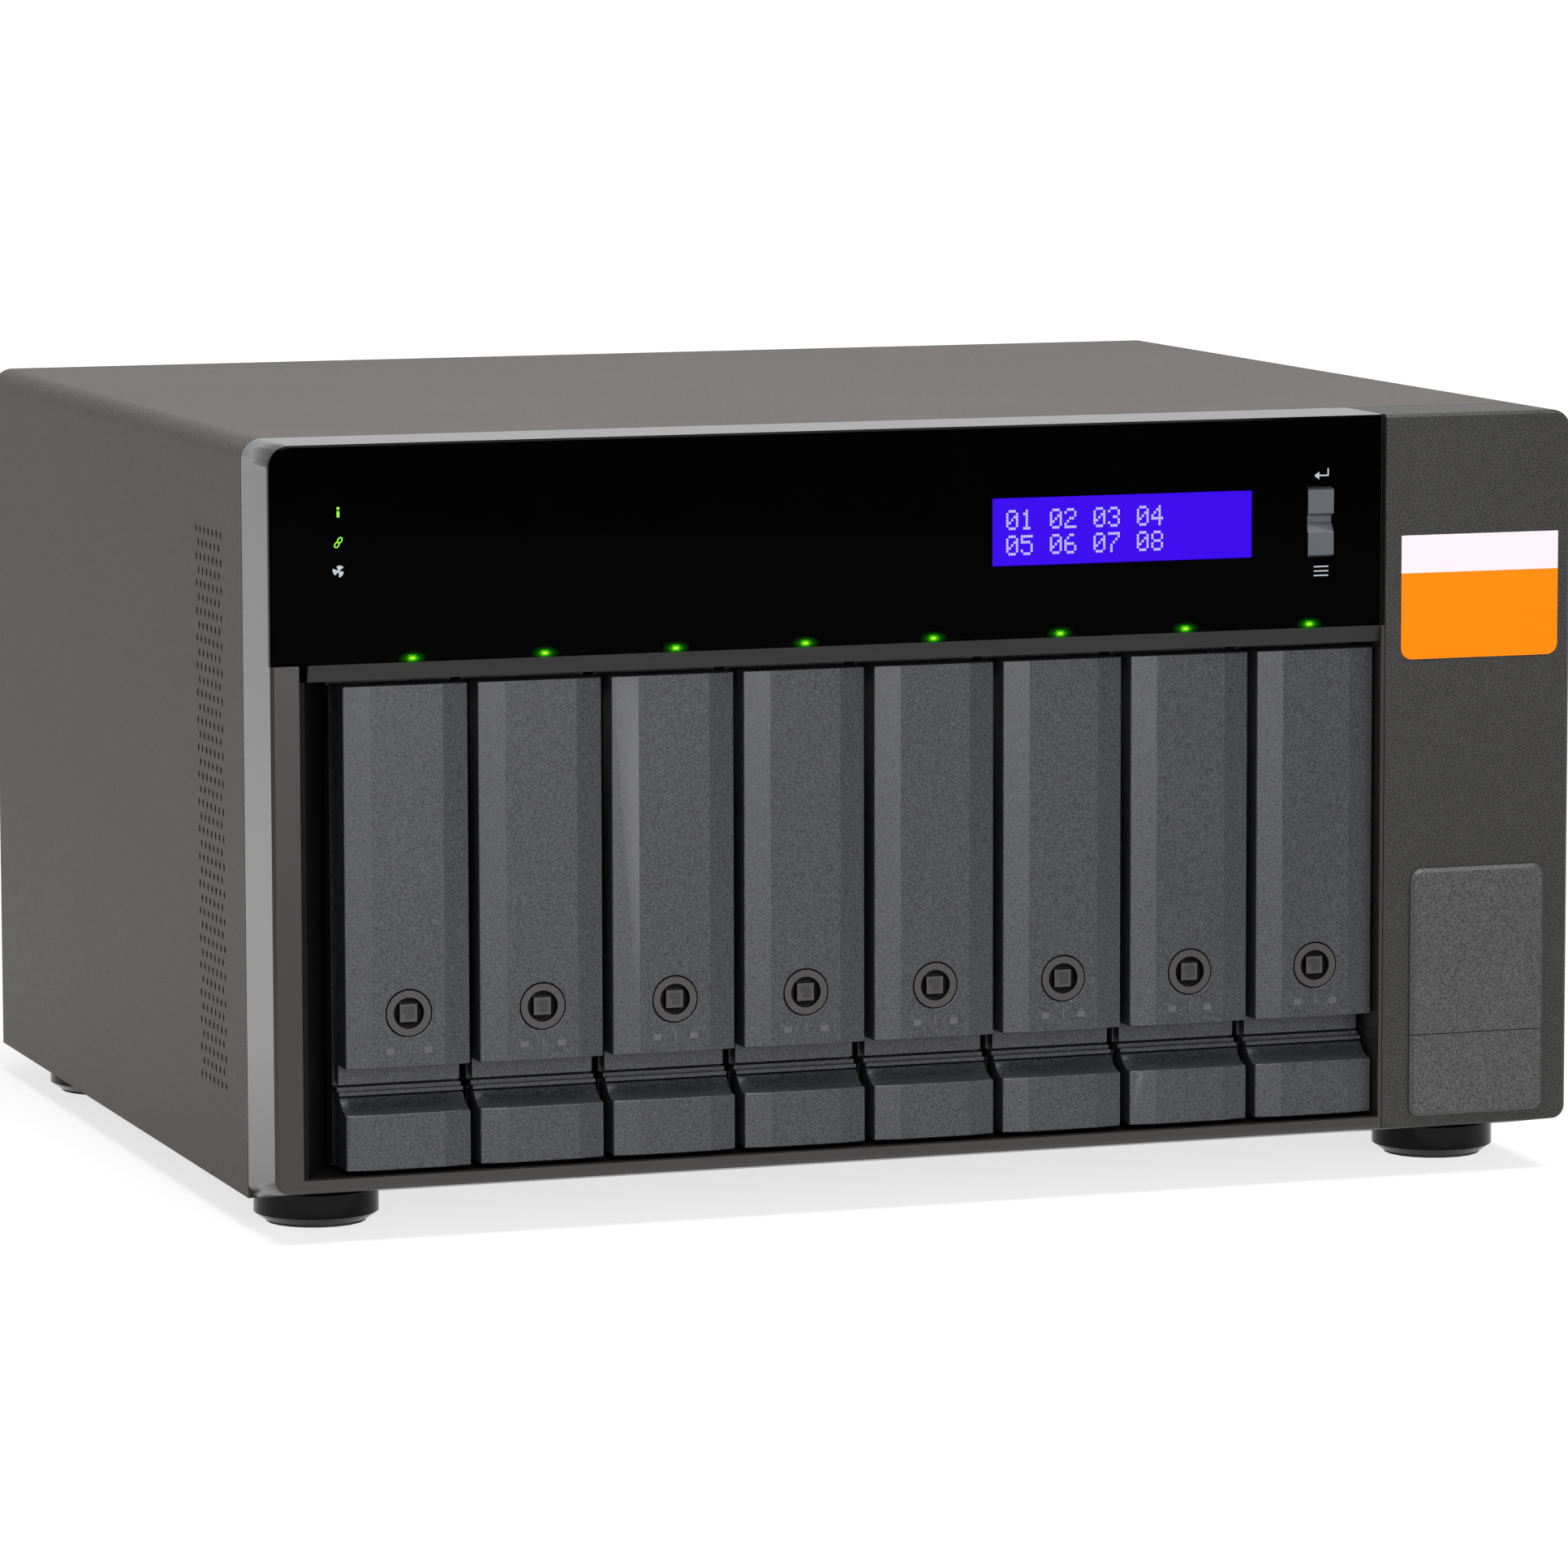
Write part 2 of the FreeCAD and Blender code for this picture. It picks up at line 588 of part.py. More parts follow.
def lcd_module():
    """Display glass in its window, with the wider module behind the backing."""
    glass = block((LCD_X0 + 0.1, LCD_X0 + LCD_W - 0.1), (FACE_Y + 0.3, deep(BOARD_SET) - 0.2),
                  (LCD_Z1 - LCD_H + 0.1, LCD_Z1 - 0.1))
    body = block((LCD_X0 - LCD_RIM_X, LCD_X0 + LCD_W + LCD_RIM_X),
                 (deep(PANEL_T + BACKING_T) + 0.1, deep(BOARD_SET) - 0.2),
                 (LCD_Z1 - LCD_H - LCD_RIM_Z, LCD_Z1 + LCD_RIM_Z))
    return join([glass, body])


def front_board():
    """Circuit board that carries the display, the key switch and the indicators."""
    x = (LEFT_X + 2 * BOARD_INSET, SEAM_X - BOARD_INSET)
    y = (deep(BOARD_SET), deep(BOARD_SET) + BOARD_T)
    board = block(x, y, (PANEL_Z0, HEIGHT - BOARD_INSET))
    plug = block(around(x[0] + BOARD_PLUG_X, BOARD_PLUG_W), (y[1], y[1] + BOARD_PLUG_D),
                 around(HEIGHT - PANEL_H / 2, BOARD_PLUG_H))
    return join([board, plug])


def select_rocker():
    """Two-way key that tips about a level pin; a waist marks its middle."""
    front = FACE_Y + 0.1
    back = deep(PANEL_T + BACKING_T) + ROCKER_PIN_SET + ROCKER_PIN_R
    low = ROCKER_Z - ROCKER_H / 2
    high = ROCKER_Z + ROCKER_H / 2
    x0 = ROCKER_X - ROCKER_W / 2
    points = [
        V(x0, back, ROCKER_Z - 2.4),
        V(x0, front + ROCKER_EASE, low),
        V(x0, front, low + ROCKER_EASE / 2),
        V(x0, front, ROCKER_Z - 2.5),
        V(x0, front + ROCKER_NOTCH, ROCKER_Z),
        V(x0, front + ROCKER_NOTCH, ROCKER_Z + 1.4),
        V(x0, front, ROCKER_Z + 2.2),
        V(x0, front, high - ROCKER_EASE / 2),
        V(x0, front + ROCKER_EASE, high),
        V(x0, back, ROCKER_Z + 2.4),
    ]
    return join([prism(points, V(ROCKER_W, 0, 0)), rocker_pin(0)])


# ---- slide cover, lower plate, power button, label
def button_height():
    return COVER_Z0 + COVER_H * 0.6


def door_plate(z, upper):
    """Thin raised plate, rounded and bevelled away from the seam between the two plates."""
    y = (FACE_Y - DOOR_PROUD, FACE_Y - FIT)
    x = around(DOOR_X, DOOR_W)
    body = block(x, y, z)
    middle = (z[0] + z[1]) / 2
    if upper:
        corners = edges_along(body, V(0, 1, 0), lambda e: e.CenterOfMass.z > middle)
        body = body.makeFillet(DOOR_R, corners)
    else:
        corners = edges_along(body, V(0, 1, 0), lambda e: e.CenterOfMass.z < middle)
        body = body.makeFillet(PLATE_R, corners)
    seam = z[0] if upper else z[1]
    rim = [e for e in body.Edges if abs(e.CenterOfMass.y - y[0]) < 0.01
           and e.BoundBox.YLength < 0.01 and abs(e.CenterOfMass.z - seam) > 0.01]
    return body.makeChamfer(DOOR_BEVEL, rim)


def slide_cover():
    """Cover that slides up; two hooks at its foot run behind the fascia's face."""
    plate = door_plate((COVER_Z0, COVER_Z0 + COVER_H), True)
    pieces = [plate]
    edge = DOOR_W / 2 - POCKET_MARGIN
    foot = COVER_Z0 + POCKET_RIM + FIT
    z = (foot, foot + HOOK_H)
    hook_y = (deep(FRONT_LIP_T) + FIT, deep(FRONT_LIP_T) + FIT + HOOK_T)
    for side in (-1, 1):
        stem = [DOOR_X + side * (edge - FIT), DOOR_X + side * (edge - FIT - HOOK_T)]
        hook = [DOOR_X + side * (edge + HOOK_REACH), stem[1]]
        pieces.append(block((min(stem), max(stem)), (FACE_Y - 1, hook_y[1]), z))
        pieces.append(block((min(hook), max(hook)), hook_y, z))
    return join(pieces)


def plate_pegs(grow):
    """Four square pegs near the lower plate's corners."""
    pegs = []
    for z in (PLATE_Z + PEG_INSET, PLATE_Z + PLATE_H - PEG_INSET):
        for x in (DOOR_X - DOOR_W / 2 + PEG_INSET, DOOR_X + DOOR_W / 2 - PEG_INSET):
            size = PEG_W + 2 * grow
            pegs.append(block(around(x, size), (FACE_Y - 1, deep(FRONT_LIP_T) + 1), around(z, size)))
    return pegs


def lower_plate():
    """Fixed plate below the slide cover, held by four pegs."""
    return join([door_plate((PLATE_Z, PLATE_Z + PLATE_H), False)] + plate_pegs(0))


def power_button():
    z = button_height()
    cap = bar(BUTTON_R, HUB_SIDES, V(DOOR_X, deep(POCKET_D - BUTTON_PROUD), z),
              V(DOOR_X, deep(POCKET_D + 2 * TUB_WALL), z))
    wide = 2 * (BUTTON_R + BUTTON_RIM)
    back = deep(POCKET_D + TUB_WALL) + FIT
    flange = block(around(DOOR_X, wide), (back, back + BUTTON_RIM), around(z, wide))
    return join([cap, flange])


def label_sticker():
    """Bare label with square upper and rounded lower corners."""
    body = block(around(DOOR_X + 0.2, LABEL_W), (FACE_Y - LABEL_T, FACE_Y), (LABEL_Z, LABEL_Z + LABEL_H))
    low = edges_along(body, V(0, 1, 0), lambda e: e.CenterOfMass.z < LABEL_Z + 1)
    return body.makeFillet(LABEL_R, low)


# ---- drive trays, made about x = 0
def facet_prism(back, z, width=TRAY_W):
    """Upright bar with a flat centre facet and two sloping side facets."""
    half = width / 2
    flat = half - FACET_W
    points = [
        V(-half, deep(FACE_SET + FACET_DROP), z[0]),
        V(-flat, deep(FACE_SET), z[0]),
        V(flat, deep(FACE_SET), z[0]),
        V(half, deep(FACE_SET + FACET_DROP), z[0]),
        V(half, deep(back), z[0]),
        V(-half, deep(back), z[0]),
    ]
    return prism(points, V(0, 0, z[1] - z[0]))


def tray_handle():
    """Long hollow lever, hinged near its top, with a chin for the fingers."""
    back = FACE_SET + HANDLE_T
    half = TRAY_W / 2
    body = facet_prism(back, (HANDLE_Z0, HANDLE_Z1))
    inner_x = (-half + HANDLE_SIDE, half - HANDLE_SIDE)
    skin = FACE_SET + HANDLE_SKIN
    room_z = (HANDLE_Z0 + HANDLE_END, HANDLE_Z1 - HANDLE_END)
    side_room = block(inner_x, (deep(skin + FACET_DROP), deep(back) + 1), room_z)
    mid_room = block((-half + FACET_W, half - FACET_W), (deep(skin), deep(back)), room_z)
    body = body.cut(side_room).cut(mid_room)
    lug_room = block(around(0, LUG_W + 0.8), (deep(PIVOT_D + 1.5), deep(back) + 1), (PIVOT_Z, HANDLE_Z1 + 1))
    body = body.cut(lug_room)
    boss_size = 2 * (LOCK_R + BOSS_WALL)
    boss = block(around(0, boss_size), (deep(skin) - 0.1, deep(back)), around(LOCK_Z, boss_size))
    pin_x = inner_x[1] + 0.5
    pin = bar(PIN_R, PIN_SIDES, V(-pin_x, deep(PIVOT_D), PIVOT_Z), V(pin_x, deep(PIVOT_D), PIVOT_Z))
    chin_back = FACE_SET + CHIN_SET + CHIN_T
    sill = block((-half, half), (deep(back) - 0.5, deep(chin_back)), (HANDLE_Z0, HANDLE_Z0 + HANDLE_END))
    chin = block((-half + FIT, half - FIT), (deep(chin_back - CHIN_T), deep(chin_back)),
                 (CHIN_Z, HANDLE_Z0 + 1))
    body = join([body, boss, pin, sill, chin])
    return body.cut(bar(LOCK_R + FIT, LOCK_SIDES, V(0, FACE_Y, LOCK_Z), V(0, deep(back) + 1, LOCK_Z)))


def tray_lock():
    """Key cylinder: flush ring, sunken keyway post, and a cam at the back."""
    back = FACE_SET + HANDLE_T + FIT
    barrel = bar(LOCK_R, LOCK_SIDES, V(0, deep(FACE_SET), LOCK_Z), V(0, deep(back), LOCK_Z))
    hole = bar(KEYHOLE_R, LOCK_SIDES, V(0, FACE_Y, LOCK_Z), V(0, deep(FACE_SET + KEYHOLE_D), LOCK_Z))
    post = block(around(0, KEY_POST), (deep(FACE_SET + 0.4), deep(FACE_SET + KEYHOLE_D) + 0.5),
                 around(LOCK_Z, KEY_POST))
    cam = block(around(0, 4), (deep(back) - 0.1, deep(back) + CAM_T), (LOCK_Z - 2, LOCK_Z + CAM_L))
    return join([barrel.cut(hole), post, cam])


def tray_release():
    """Push button under the handle: facetted face, scooped top, guide stem."""
    back = FACE_SET + RELEASE_BACK
    top = RELEASE_Z1 + SCOOP_RISE
    body = facet_prism(back, (TRAY_Z0, top))
    scoop_back = deep(FACE_SET + RELEASE_BACK - 3.5)
    start = V(-TRAY_W, deep(FACE_SET), RELEASE_Z1)
    end = V(-TRAY_W, scoop_back, top)
    middle = V(-TRAY_W, start.y + 0.62 * (end.y - start.y), RELEASE_Z1 + 0.26 * SCOOP_RISE)
    outline = Part.Wire([
        Part.Arc(start, middle, end).toShape(),
        Part.makeLine(end, V(-TRAY_W, end.y, top + 1)),
        Part.makeLine(V(-TRAY_W, end.y, top + 1), V(-TRAY_W, FACE_Y, top + 1)),
        Part.makeLine(V(-TRAY_W, FACE_Y, top + 1), V(-TRAY_W, FACE_Y, RELEASE_Z1)),
        Part.makeLine(V(-TRAY_W, FACE_Y, RELEASE_Z1), start),
    ])
    scoop = Part.Face(outline).extrude(V(2 * TRAY_W, 0, 0))
    stem = block(around(0, STEM_W), (deep(back) - 1, deep(back) + STEM_L), around(STEM_Z, STEM_H))
    return join([body.cut(scoop), stem])


def tray_carrier():
    """Drive carrier: side wall, two runners, front wall, hinge lug and ledge."""
    half = TRAY_W / 2
    whole = block((-half, half), (deep(CARRIER_SET), deep(TRAY_L)), (RUNNER_Z0, RUNNER_Z1))
    open_x = (-half + TRAY_WALL, half + 1)
    y = (deep(CARRIER_SET + CARRIER_WALL), deep(TRAY_L) + 1)
    whole = whole.cut(block(open_x, y, (DISK_Z0, DISK_Z0 + DISK_H)))
    lower = block(open_x, y, (RUNNER_Z0 + RUNNER_T, DISK_Z0 - RUNNER_T))
    upper = block(open_x, y, (DISK_Z0 + DISK_H + RUNNER_T, RUNNER_Z1 - RUNNER_T))
    whole = whole.cut(lower).cut(upper)
    for step in range(WINDOWS):
        start = CARRIER_SET + CARRIER_WALL + WINDOW_EDGE + step * (WINDOW_L + WINDOW_EDGE)
        window = block((-half - 1, -half + TRAY_WALL + 1), (deep(start), deep(start + WINDOW_L)),
                       (DISK_Z0 + WINDOW_EDGE, DISK_Z0 + DISK_H - WINDOW_EDGE))
        whole = whole.cut(window)
    top_cut = block((-half - 1, half + 1), (deep(CARRIER_SET) - 1, deep(CARRIER_SET + CARRIER_WALL)),
                    (HANDLE_Z1 - 1, RUNNER_Z1 + 1))
    stem_hole = block(around(0, STEM_W + 2 * FIT), (deep(CARRIER_SET) - 1, deep(CARRIER_SET) + 12),
                      around(STEM_Z, STEM_H + 2 * FIT))
    low_trim = block((-half - 1, half + 1), (deep(CARRIER_SET) - 1, deep(CARRIER_SET + CARRIER_WALL)),
                     (RUNNER_Z0 - 1, TRAY_Z0))
    whole = whole.cut(top_cut).cut(stem_hole).cut(low_trim)
    arm = block(around(0, LUG_W), (deep(PIVOT_D), deep(CARRIER_SET) + 0.5), around(PIVOT_Z, 2 * LUG_R))
    end = V(LUG_W / 2, deep(PIVOT_D), PIVOT_Z)
    knuckle = bar(LUG_R, PIN_SIDES, end - V(LUG_W, 0, 0), end)
    bore = bar(PIN_R + FIT, PIN_SIDES, end - V(LUG_W + 1, 0, 0), end + V(1, 0, 0))
    lug = join([arm, knuckle]).cut(bore)
    step_z = RELEASE_Z1 + SCOOP_RISE + 0.4
    ledge_top = CHIN_Z - 0.6
    ledge_mid = (step_z + ledge_top) / 2
    ledge_y = deep(FACE_SET + CHIN_SET)
    shallow = block((-half, half), (ledge_y - LEDGE_STEP, deep(CARRIER_SET) + 0.5), (step_z, ledge_mid))
    deepest = block((-half, half), (ledge_y, deep(CARRIER_SET) + 0.5), (ledge_mid, ledge_top))
    return join([whole, lug, shallow, deepest])


# ---- cage, backplane
def drive_cage():
    """Black metal cage: floor, ceiling, side walls, guide ribs and splayed mouth."""
    start = FRONT_D + SEAM + 0.3
    end = BACKPLANE_D - 0.1
    x = (CAGE_X0 - CAGE_SHEET, CAGE_X1 + CAGE_SHEET)
    front = deep(FRONT_LIP_T) + FIT
    floor_z = (CAGE_FLOOR - CAGE_SHEET, CAGE_FLOOR)
    floor = block((x[0], CAGE_X1), (front, deep(end)), floor_z)
    mouth_floor = block((MOUTH_X0 + FIT, x[0] + 1), (front, deep(start)), floor_z)
    ceiling = block((x[0], x[1]), (deep(start), deep(end)), (CAGE_CEILING, CAGE_CEILING + CAGE_SHEET))
    left = block((x[0], CAGE_X0), (deep(start), deep(end)), (BASE_TOP, CAGE_CEILING + CAGE_SHEET))
    right = block((CAGE_X1, x[1]), (deep(start), deep(end)), (BASE_TOP, CAGE_CEILING + CAGE_SHEET))
    outer = V(MOUTH_X0 + FIT, front, floor_z[0])
    inner = V(CAGE_X0, deep(FRONT_LIP_T + SPLAY_D), floor_z[0])
    points = [
        outer,
        outer + V(CAGE_SHEET * 1.4, 0, 0),
        inner,
        V(inner.x, deep(start) + 0.5, inner.z),
        V(x[0], deep(start) + 0.5, inner.z),
        V(x[0], inner.y + 1.0, inner.z),
    ]
    splay = prism(points, V(0, 0, MOUTH_Z1 - 0.1 - inner.z))
    pieces = [floor, mouth_floor, ceiling, left, right, splay]
    for gap in range(TRAY_COUNT - 1):
        middle = TRAY_XS[gap] + TRAY_PITCH / 2
        y = (deep(CARRIER_SET + 4), deep(end - SOCKET_D - 2))
        pieces.append(block(around(middle, RIB_T), y, (CAGE_FLOOR - 0.5, CAGE_FLOOR + RIB_H)))
        y = (deep(start), y[1])
        pieces.append(block(around(middle, RIB_T), y, (CAGE_CEILING - RIB_H, CAGE_CEILING + 0.5)))
    return join(pieces)


def backplane_board():
    """Board across the back of the cage; cooling air passes above it to the fans."""
    y = (deep(BACKPLANE_D), deep(BACKPLANE_D) + BOARD_T)
    top = DISK_Z0 + SOCKET_RISE + SOCKET_L + BOARD_MARGIN
    return block((CAGE_X0 - CAGE_SHEET, CAGE_X1 + CAGE_SHEET), y, (BASE_TOP, top))


def backplane_sockets():
    """One drive socket per tray, upright, with its tongue slot."""
    sockets = []
    y = (deep(BACKPLANE_D) - SOCKET_D, deep(BACKPLANE_D))
    z = (DISK_Z0 + SOCKET_RISE, DISK_Z0 + SOCKET_RISE + SOCKET_L)
    for x in TRAY_XS:
        body = block(around(x - 4, SOCKET_W), y, z)
        sockets.append(body.cut(block(around(x - 4, 2), (y[0] - 1, y[0] + 5), (z[0] + 3, z[1] - 3))))
    return group(sockets)


# ---- rear pieces
def fan_frame(x):
    """Square fan housing with a motor seat on four struts."""
    y = (PANEL_Y - FAN_T, PANEL_Y)
    body = block(around(x, FAN_SIZE), y, around(FAN_Z, FAN_SIZE))
    body = body.makeChamfer(FAN_CORNER, edges_along(body, V(0, 1, 0)))
    body = body.cut(bar(FAN_BORE_R, HUB_SIDES, V(x, y[0] - 1, FAN_Z), V(x, y[1] + 1, FAN_Z)))
    pieces = [body, bar(FAN_HUB_R, HUB_SIDES, V(x, y[1] - STRUT_W, FAN_Z), V(x, y[1] - 0.5, FAN_Z))]
    for size in ((2 * FAN_BORE_R + 1, STRUT_W), (STRUT_W, 2 * FAN_BORE_R + 1)):
        pieces.append(block(around(x, size[0]), (y[1] - STRUT_W, y[1] - 1), around(FAN_Z, size[1])))
    bore = rod(FAN_SHAFT_R + FIT, V(x, y[1] - 10, FAN_Z), V(x, y[1] + 1, FAN_Z))
    return join(pieces).cut(bore)


def blade_section(radius, chord, pitch, y):
    """Corners of a thin slanted rectangle across a blade at one radius."""
    lean = math.radians(pitch)
    along = V(math.cos(lean), math.sin(lean), 0) * (chord / 2)
    across = V(-math.sin(lean), math.cos(lean), 0) * (BLADE_T / 2)
    low = V(0, y, radius) - across
    high = V(0, y, radius) + across
    return [low - along, low + along, high + along, high - along]


def fan_rotor(x):
    """Hub, twisted blades and shaft of one fan."""
    y = (PANEL_Y - FAN_T + 2, PANEL_Y - STRUT_W - 0.4)
    hub = bar(FAN_HUB_R, HUB_SIDES, V(0, y[0], 0), V(0, y[1], 0))
    shaft = rod(FAN_SHAFT_R, V(0, y[1] - 1, 0), V(0, y[1] + 3.4, 0))
    middle = (y[0] + y[1]) / 2
    tip = FAN_BORE_R - FAN_TIP_GAP
    blade = faceted([
        blade_section(FAN_HUB_R - 2, 15, 52, middle),
        blade_section((FAN_HUB_R + tip) / 2, 24, 38, middle),
        blade_section(tip - 3, 31, 28, middle),
    ])
    pieces = [hub, shaft]
    for index in range(FAN_BLADES):
        turned = blade.copy()
        turned.rotate(V(0, 0, 0), V(0, 1, 0), index * 360 / FAN_BLADES)
        pieces.append(turned)
    return moved(join(pieces), x, 0, FAN_Z)


def power_supply():
    """Slim power supply standing on the base, with its own rear grille."""
    y = (PANEL_Y - PSU_L, PANEL_Y)
    body = block(around(PSU_X, PSU_W), y, (BASE_TOP, BASE_TOP + PSU_H))
    body = body.cut(inlet_body(0.1, 0))
    for row in range(PSU_SLOTS):
        z = BASE_TOP + PSU_SLOT_Z + row * 2 * PSU_SLOT
        slot = block(around(PSU_X, PSU_SLOT_W), (y[1] - PSU_SLOT_D, y[1] + 1), (z, z + PSU_SLOT))
        body = body.cut(slot)
    return body


def inlet_body(grow, proud):
    z = (INLET_Z - INLET_H / 2 - grow, INLET_Z + INLET_H / 2 + grow)
    return block(around(PSU_X, INLET_W + 2 * grow), (PANEL_Y - INLET_D - 3 - grow, PANEL_Y + proud), z)


def ac_inlet():
    """Mains inlet: shrouded socket with three blades."""
    body = inlet_body(0, REAR_SET)
    mouth = PANEL_Y + REAR_SET
    cavity = block(around(PSU_X, INLET_W - 2 * INLET_WALL), (mouth - INLET_D, mouth + 1),
                   around(INLET_Z, INLET_H - 2 * INLET_WALL))
    corners = edges_along(cavity, V(0, 1, 0), lambda e: e.CenterOfMass.z > INLET_Z)
    cavity = cavity.makeChamfer(INLET_CORNER, corners)
    pieces = [body.cut(cavity)]
    pin_y = (mouth - INLET_D - 1, mouth - 5)
    for dx, dz in ((-INLET_PINS, -1.5), (INLET_PINS, -1.5), (0, 2.0)):
        pin_z = around(INLET_Z + dz, 2 * INLET_PIN_W)
        pieces.append(block(around(PSU_X + dx, INLET_PIN_W), pin_y, pin_z))
    return join(pieces)


def port_heights():
    return [PORT_Z, PORT_Z + PORT_H + PORT_GAP]


def host_ports():
    """Two shielded host sockets that reach out through the rear panel."""
    ports = []
    y = (PANEL_Y + SHEET + 1.6 - PORT_L, PANEL_Y + SHEET + 1.6)
    for z in port_heights():
        shell = block(around(PORT_X, PORT_W), y, (z, z + PORT_H))
        room = block(around(PORT_X, PORT_W - 2 * PORT_WALL), (y[0] + 4, y[1] + 1),
                     (z + PORT_WALL, z + PORT_H - PORT_WALL))
        tongue = block(around(PORT_X, 1.6), (y[0] + 3.5, y[1] - 6), (z + 3, z + PORT_H - 3))
        ports.append(join([shell.cut(room), tongue]))
    return group(ports)


def host_board_heights():
    ports = port_heights()
    return (ports[0] - HOST_BOARD_LOW, ports[-1] + PORT_H + HOST_BOARD_HIGH)


def host_board():
    """Circuit board behind the host ports, with its expander chip."""
    x0 = PORT_X + PORT_W / 2
    z = host_board_heights()
    board = block((x0, x0 + BOARD_T), (PANEL_Y - 0.5 - HOST_BOARD_L, PANEL_Y - 0.5), z)
    chip = block((x0 - 2.5, x0), around(PANEL_Y - HOST_BOARD_L * 0.67, HOST_CHIP),
                 around(sum(z) / 2, HOST_CHIP))
    return join([board, chip])


def host_bracket():
    """Bent sheet on the power supply that carries the host board on four studs."""
    x0 = PORT_X + PORT_W / 2 + BOARD_T
    x1 = x0 + STUD_H + CAGE_SHEET
    z = (BASE_TOP + PSU_H, host_board_heights()[1])
    y = (PANEL_Y - HOST_BOARD_L - 4.5, PANEL_Y - 0.2)
    wall = block((x1 - CAGE_SHEET, x1), y, z)
    foot = block((PSU_X - PSU_W / 2 + 4, x1), y, (z[0], z[0] + CAGE_SHEET))
    pieces = [wall, foot]
    for sy in (y[0] + 10, y[1] - 8):
        for sz in (host_board_heights()[0] + 4, z[1] - 4):
            pieces.append(block((x0, x1 - 0.5), around(sy, STUD_W), around(sz, STUD_W)))
    return join(pieces)


# ---- feet
def foot_profile(points):
    """Solid of revolution about the foot's own axis from (radius, height) points."""
    outline = Part.makePolygon([V(r, 0, z) for r, z in points + [points[0]]])
    return Part.Face(outline).revolve(V(0, 0, 0), V(0, 0, 1), 360)


def at_feet(shape):
    return group([moved(shape, x, y, 0) for x in FOOT_XS for y in FOOT_YS])


def feet():
    """Round glossy feet with a bevelled lower edge."""
    return at_feet(foot_profile([
        (0, PAD_T),
        (FOOT_R - 2.2, PAD_T),
        (FOOT_R, PAD_T + 1.6),
        (FOOT_R, FOOT_H),
        (0, FOOT_H),
    ]))


def foot_pads():
    return at_feet(bar(PAD_R, PAD_SIDES, V(0, 0, 0), V(0, 0, PAD_T)))


def main():
    os.makedirs("parts", exist_ok=True)
    single = {
        "top_cover": top_cover,
        "base_pan": base_pan,
        "rear_panel": rear_panel,
        "bezel_frame": bezel_frame,
        "side_fascia": side_fascia,
        "gloss_panel": gloss_panel,
        "drive_leds": drive_leds,
        "lcd_module": lcd_module,
        "front_board": front_board,
        "select_rocker": select_rocker,
        "slide_cover": slide_cover,
        "lower_plate": lower_plate,
        "power_button": power_button,
        "label_sticker": label_sticker,
        "drive_cage": drive_cage,
        "backplane_board": backplane_board,
        "backplane_sockets": backplane_sockets,
        "power_supply": power_supply,
        "ac_inlet": ac_inlet,
        "host_ports": host_ports,
        "host_board": host_board,
        "host_bracket": host_bracket,
        "feet": feet,
        "foot_pads": foot_pads,
    }
    for name, make in single.items():
        save(name, make())
    for index, x in enumerate(FAN_XS, start=1):
        save("fan_frame_%d" % index, fan_frame(x))
        save("fan_rotor_%d" % index, fan_rotor(x))
    tray_pieces = {
        "tray_carrier": tray_carrier(),
        "tray_handle": tray_handle(),
        "tray_lock": tray_lock(),
        "tray_release": tray_release(),
    }
    for index, x in enumerate(TRAY_XS, start=1):
        for name, shape in tray_pieces.items():
            save("%s_%d" % (name, index), moved(shape, x))


main()
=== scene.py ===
"""Looks of a desktop disk shelf enclosure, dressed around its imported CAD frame.

Lengths are metres; MM turns millimetres into metres.
"""
import json
import math

import bpy
from mathutils import Matrix, Vector


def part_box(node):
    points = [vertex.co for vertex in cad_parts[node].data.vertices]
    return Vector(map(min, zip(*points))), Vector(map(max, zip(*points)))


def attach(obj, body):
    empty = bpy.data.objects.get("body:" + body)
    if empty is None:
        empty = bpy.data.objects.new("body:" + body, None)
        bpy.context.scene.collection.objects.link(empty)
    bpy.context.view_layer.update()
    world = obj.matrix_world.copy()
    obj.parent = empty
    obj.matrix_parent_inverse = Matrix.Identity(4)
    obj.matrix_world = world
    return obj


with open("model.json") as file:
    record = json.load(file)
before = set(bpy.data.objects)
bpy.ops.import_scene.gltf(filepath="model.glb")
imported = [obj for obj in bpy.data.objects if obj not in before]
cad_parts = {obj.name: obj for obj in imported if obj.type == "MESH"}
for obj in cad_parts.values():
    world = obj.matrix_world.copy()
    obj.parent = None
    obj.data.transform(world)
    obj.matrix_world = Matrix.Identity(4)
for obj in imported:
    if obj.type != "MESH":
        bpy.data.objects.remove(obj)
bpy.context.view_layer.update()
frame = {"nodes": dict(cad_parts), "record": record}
NODES = frame["nodes"]
MM = 0.001
TRAY_COUNT = sum(1 for name in NODES if name.startswith("tray_carrier_"))

# ---- places read from the frame
PANEL_LOW, PANEL_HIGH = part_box("gloss_panel")
COVER_LOW, COVER_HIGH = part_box("top_cover")
LCD_LOW, LCD_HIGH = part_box("lcd_module")
ROCKER_LOW, ROCKER_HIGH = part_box("select_rocker")
LABEL_LOW, LABEL_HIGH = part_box("label_sticker")
FACE_Y = PANEL_LOW.y
SKIN = 0.04 * MM                     # how far printed marks stand off a face


# ---- meshes
def make_object(name, verts, faces, material, body):
    """New mesh piece that rides on a CAD body."""
    mesh = bpy.data.meshes.new(name)
    mesh.from_pydata([tuple(v) for v in verts], [], faces)
    mesh.update()
    piece = bpy.data.objects.new(name, mesh)
    bpy.context.scene.collection.objects.link(piece)
    piece.data.materials.append(material)
    if body:
        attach(piece, body)
    return piece


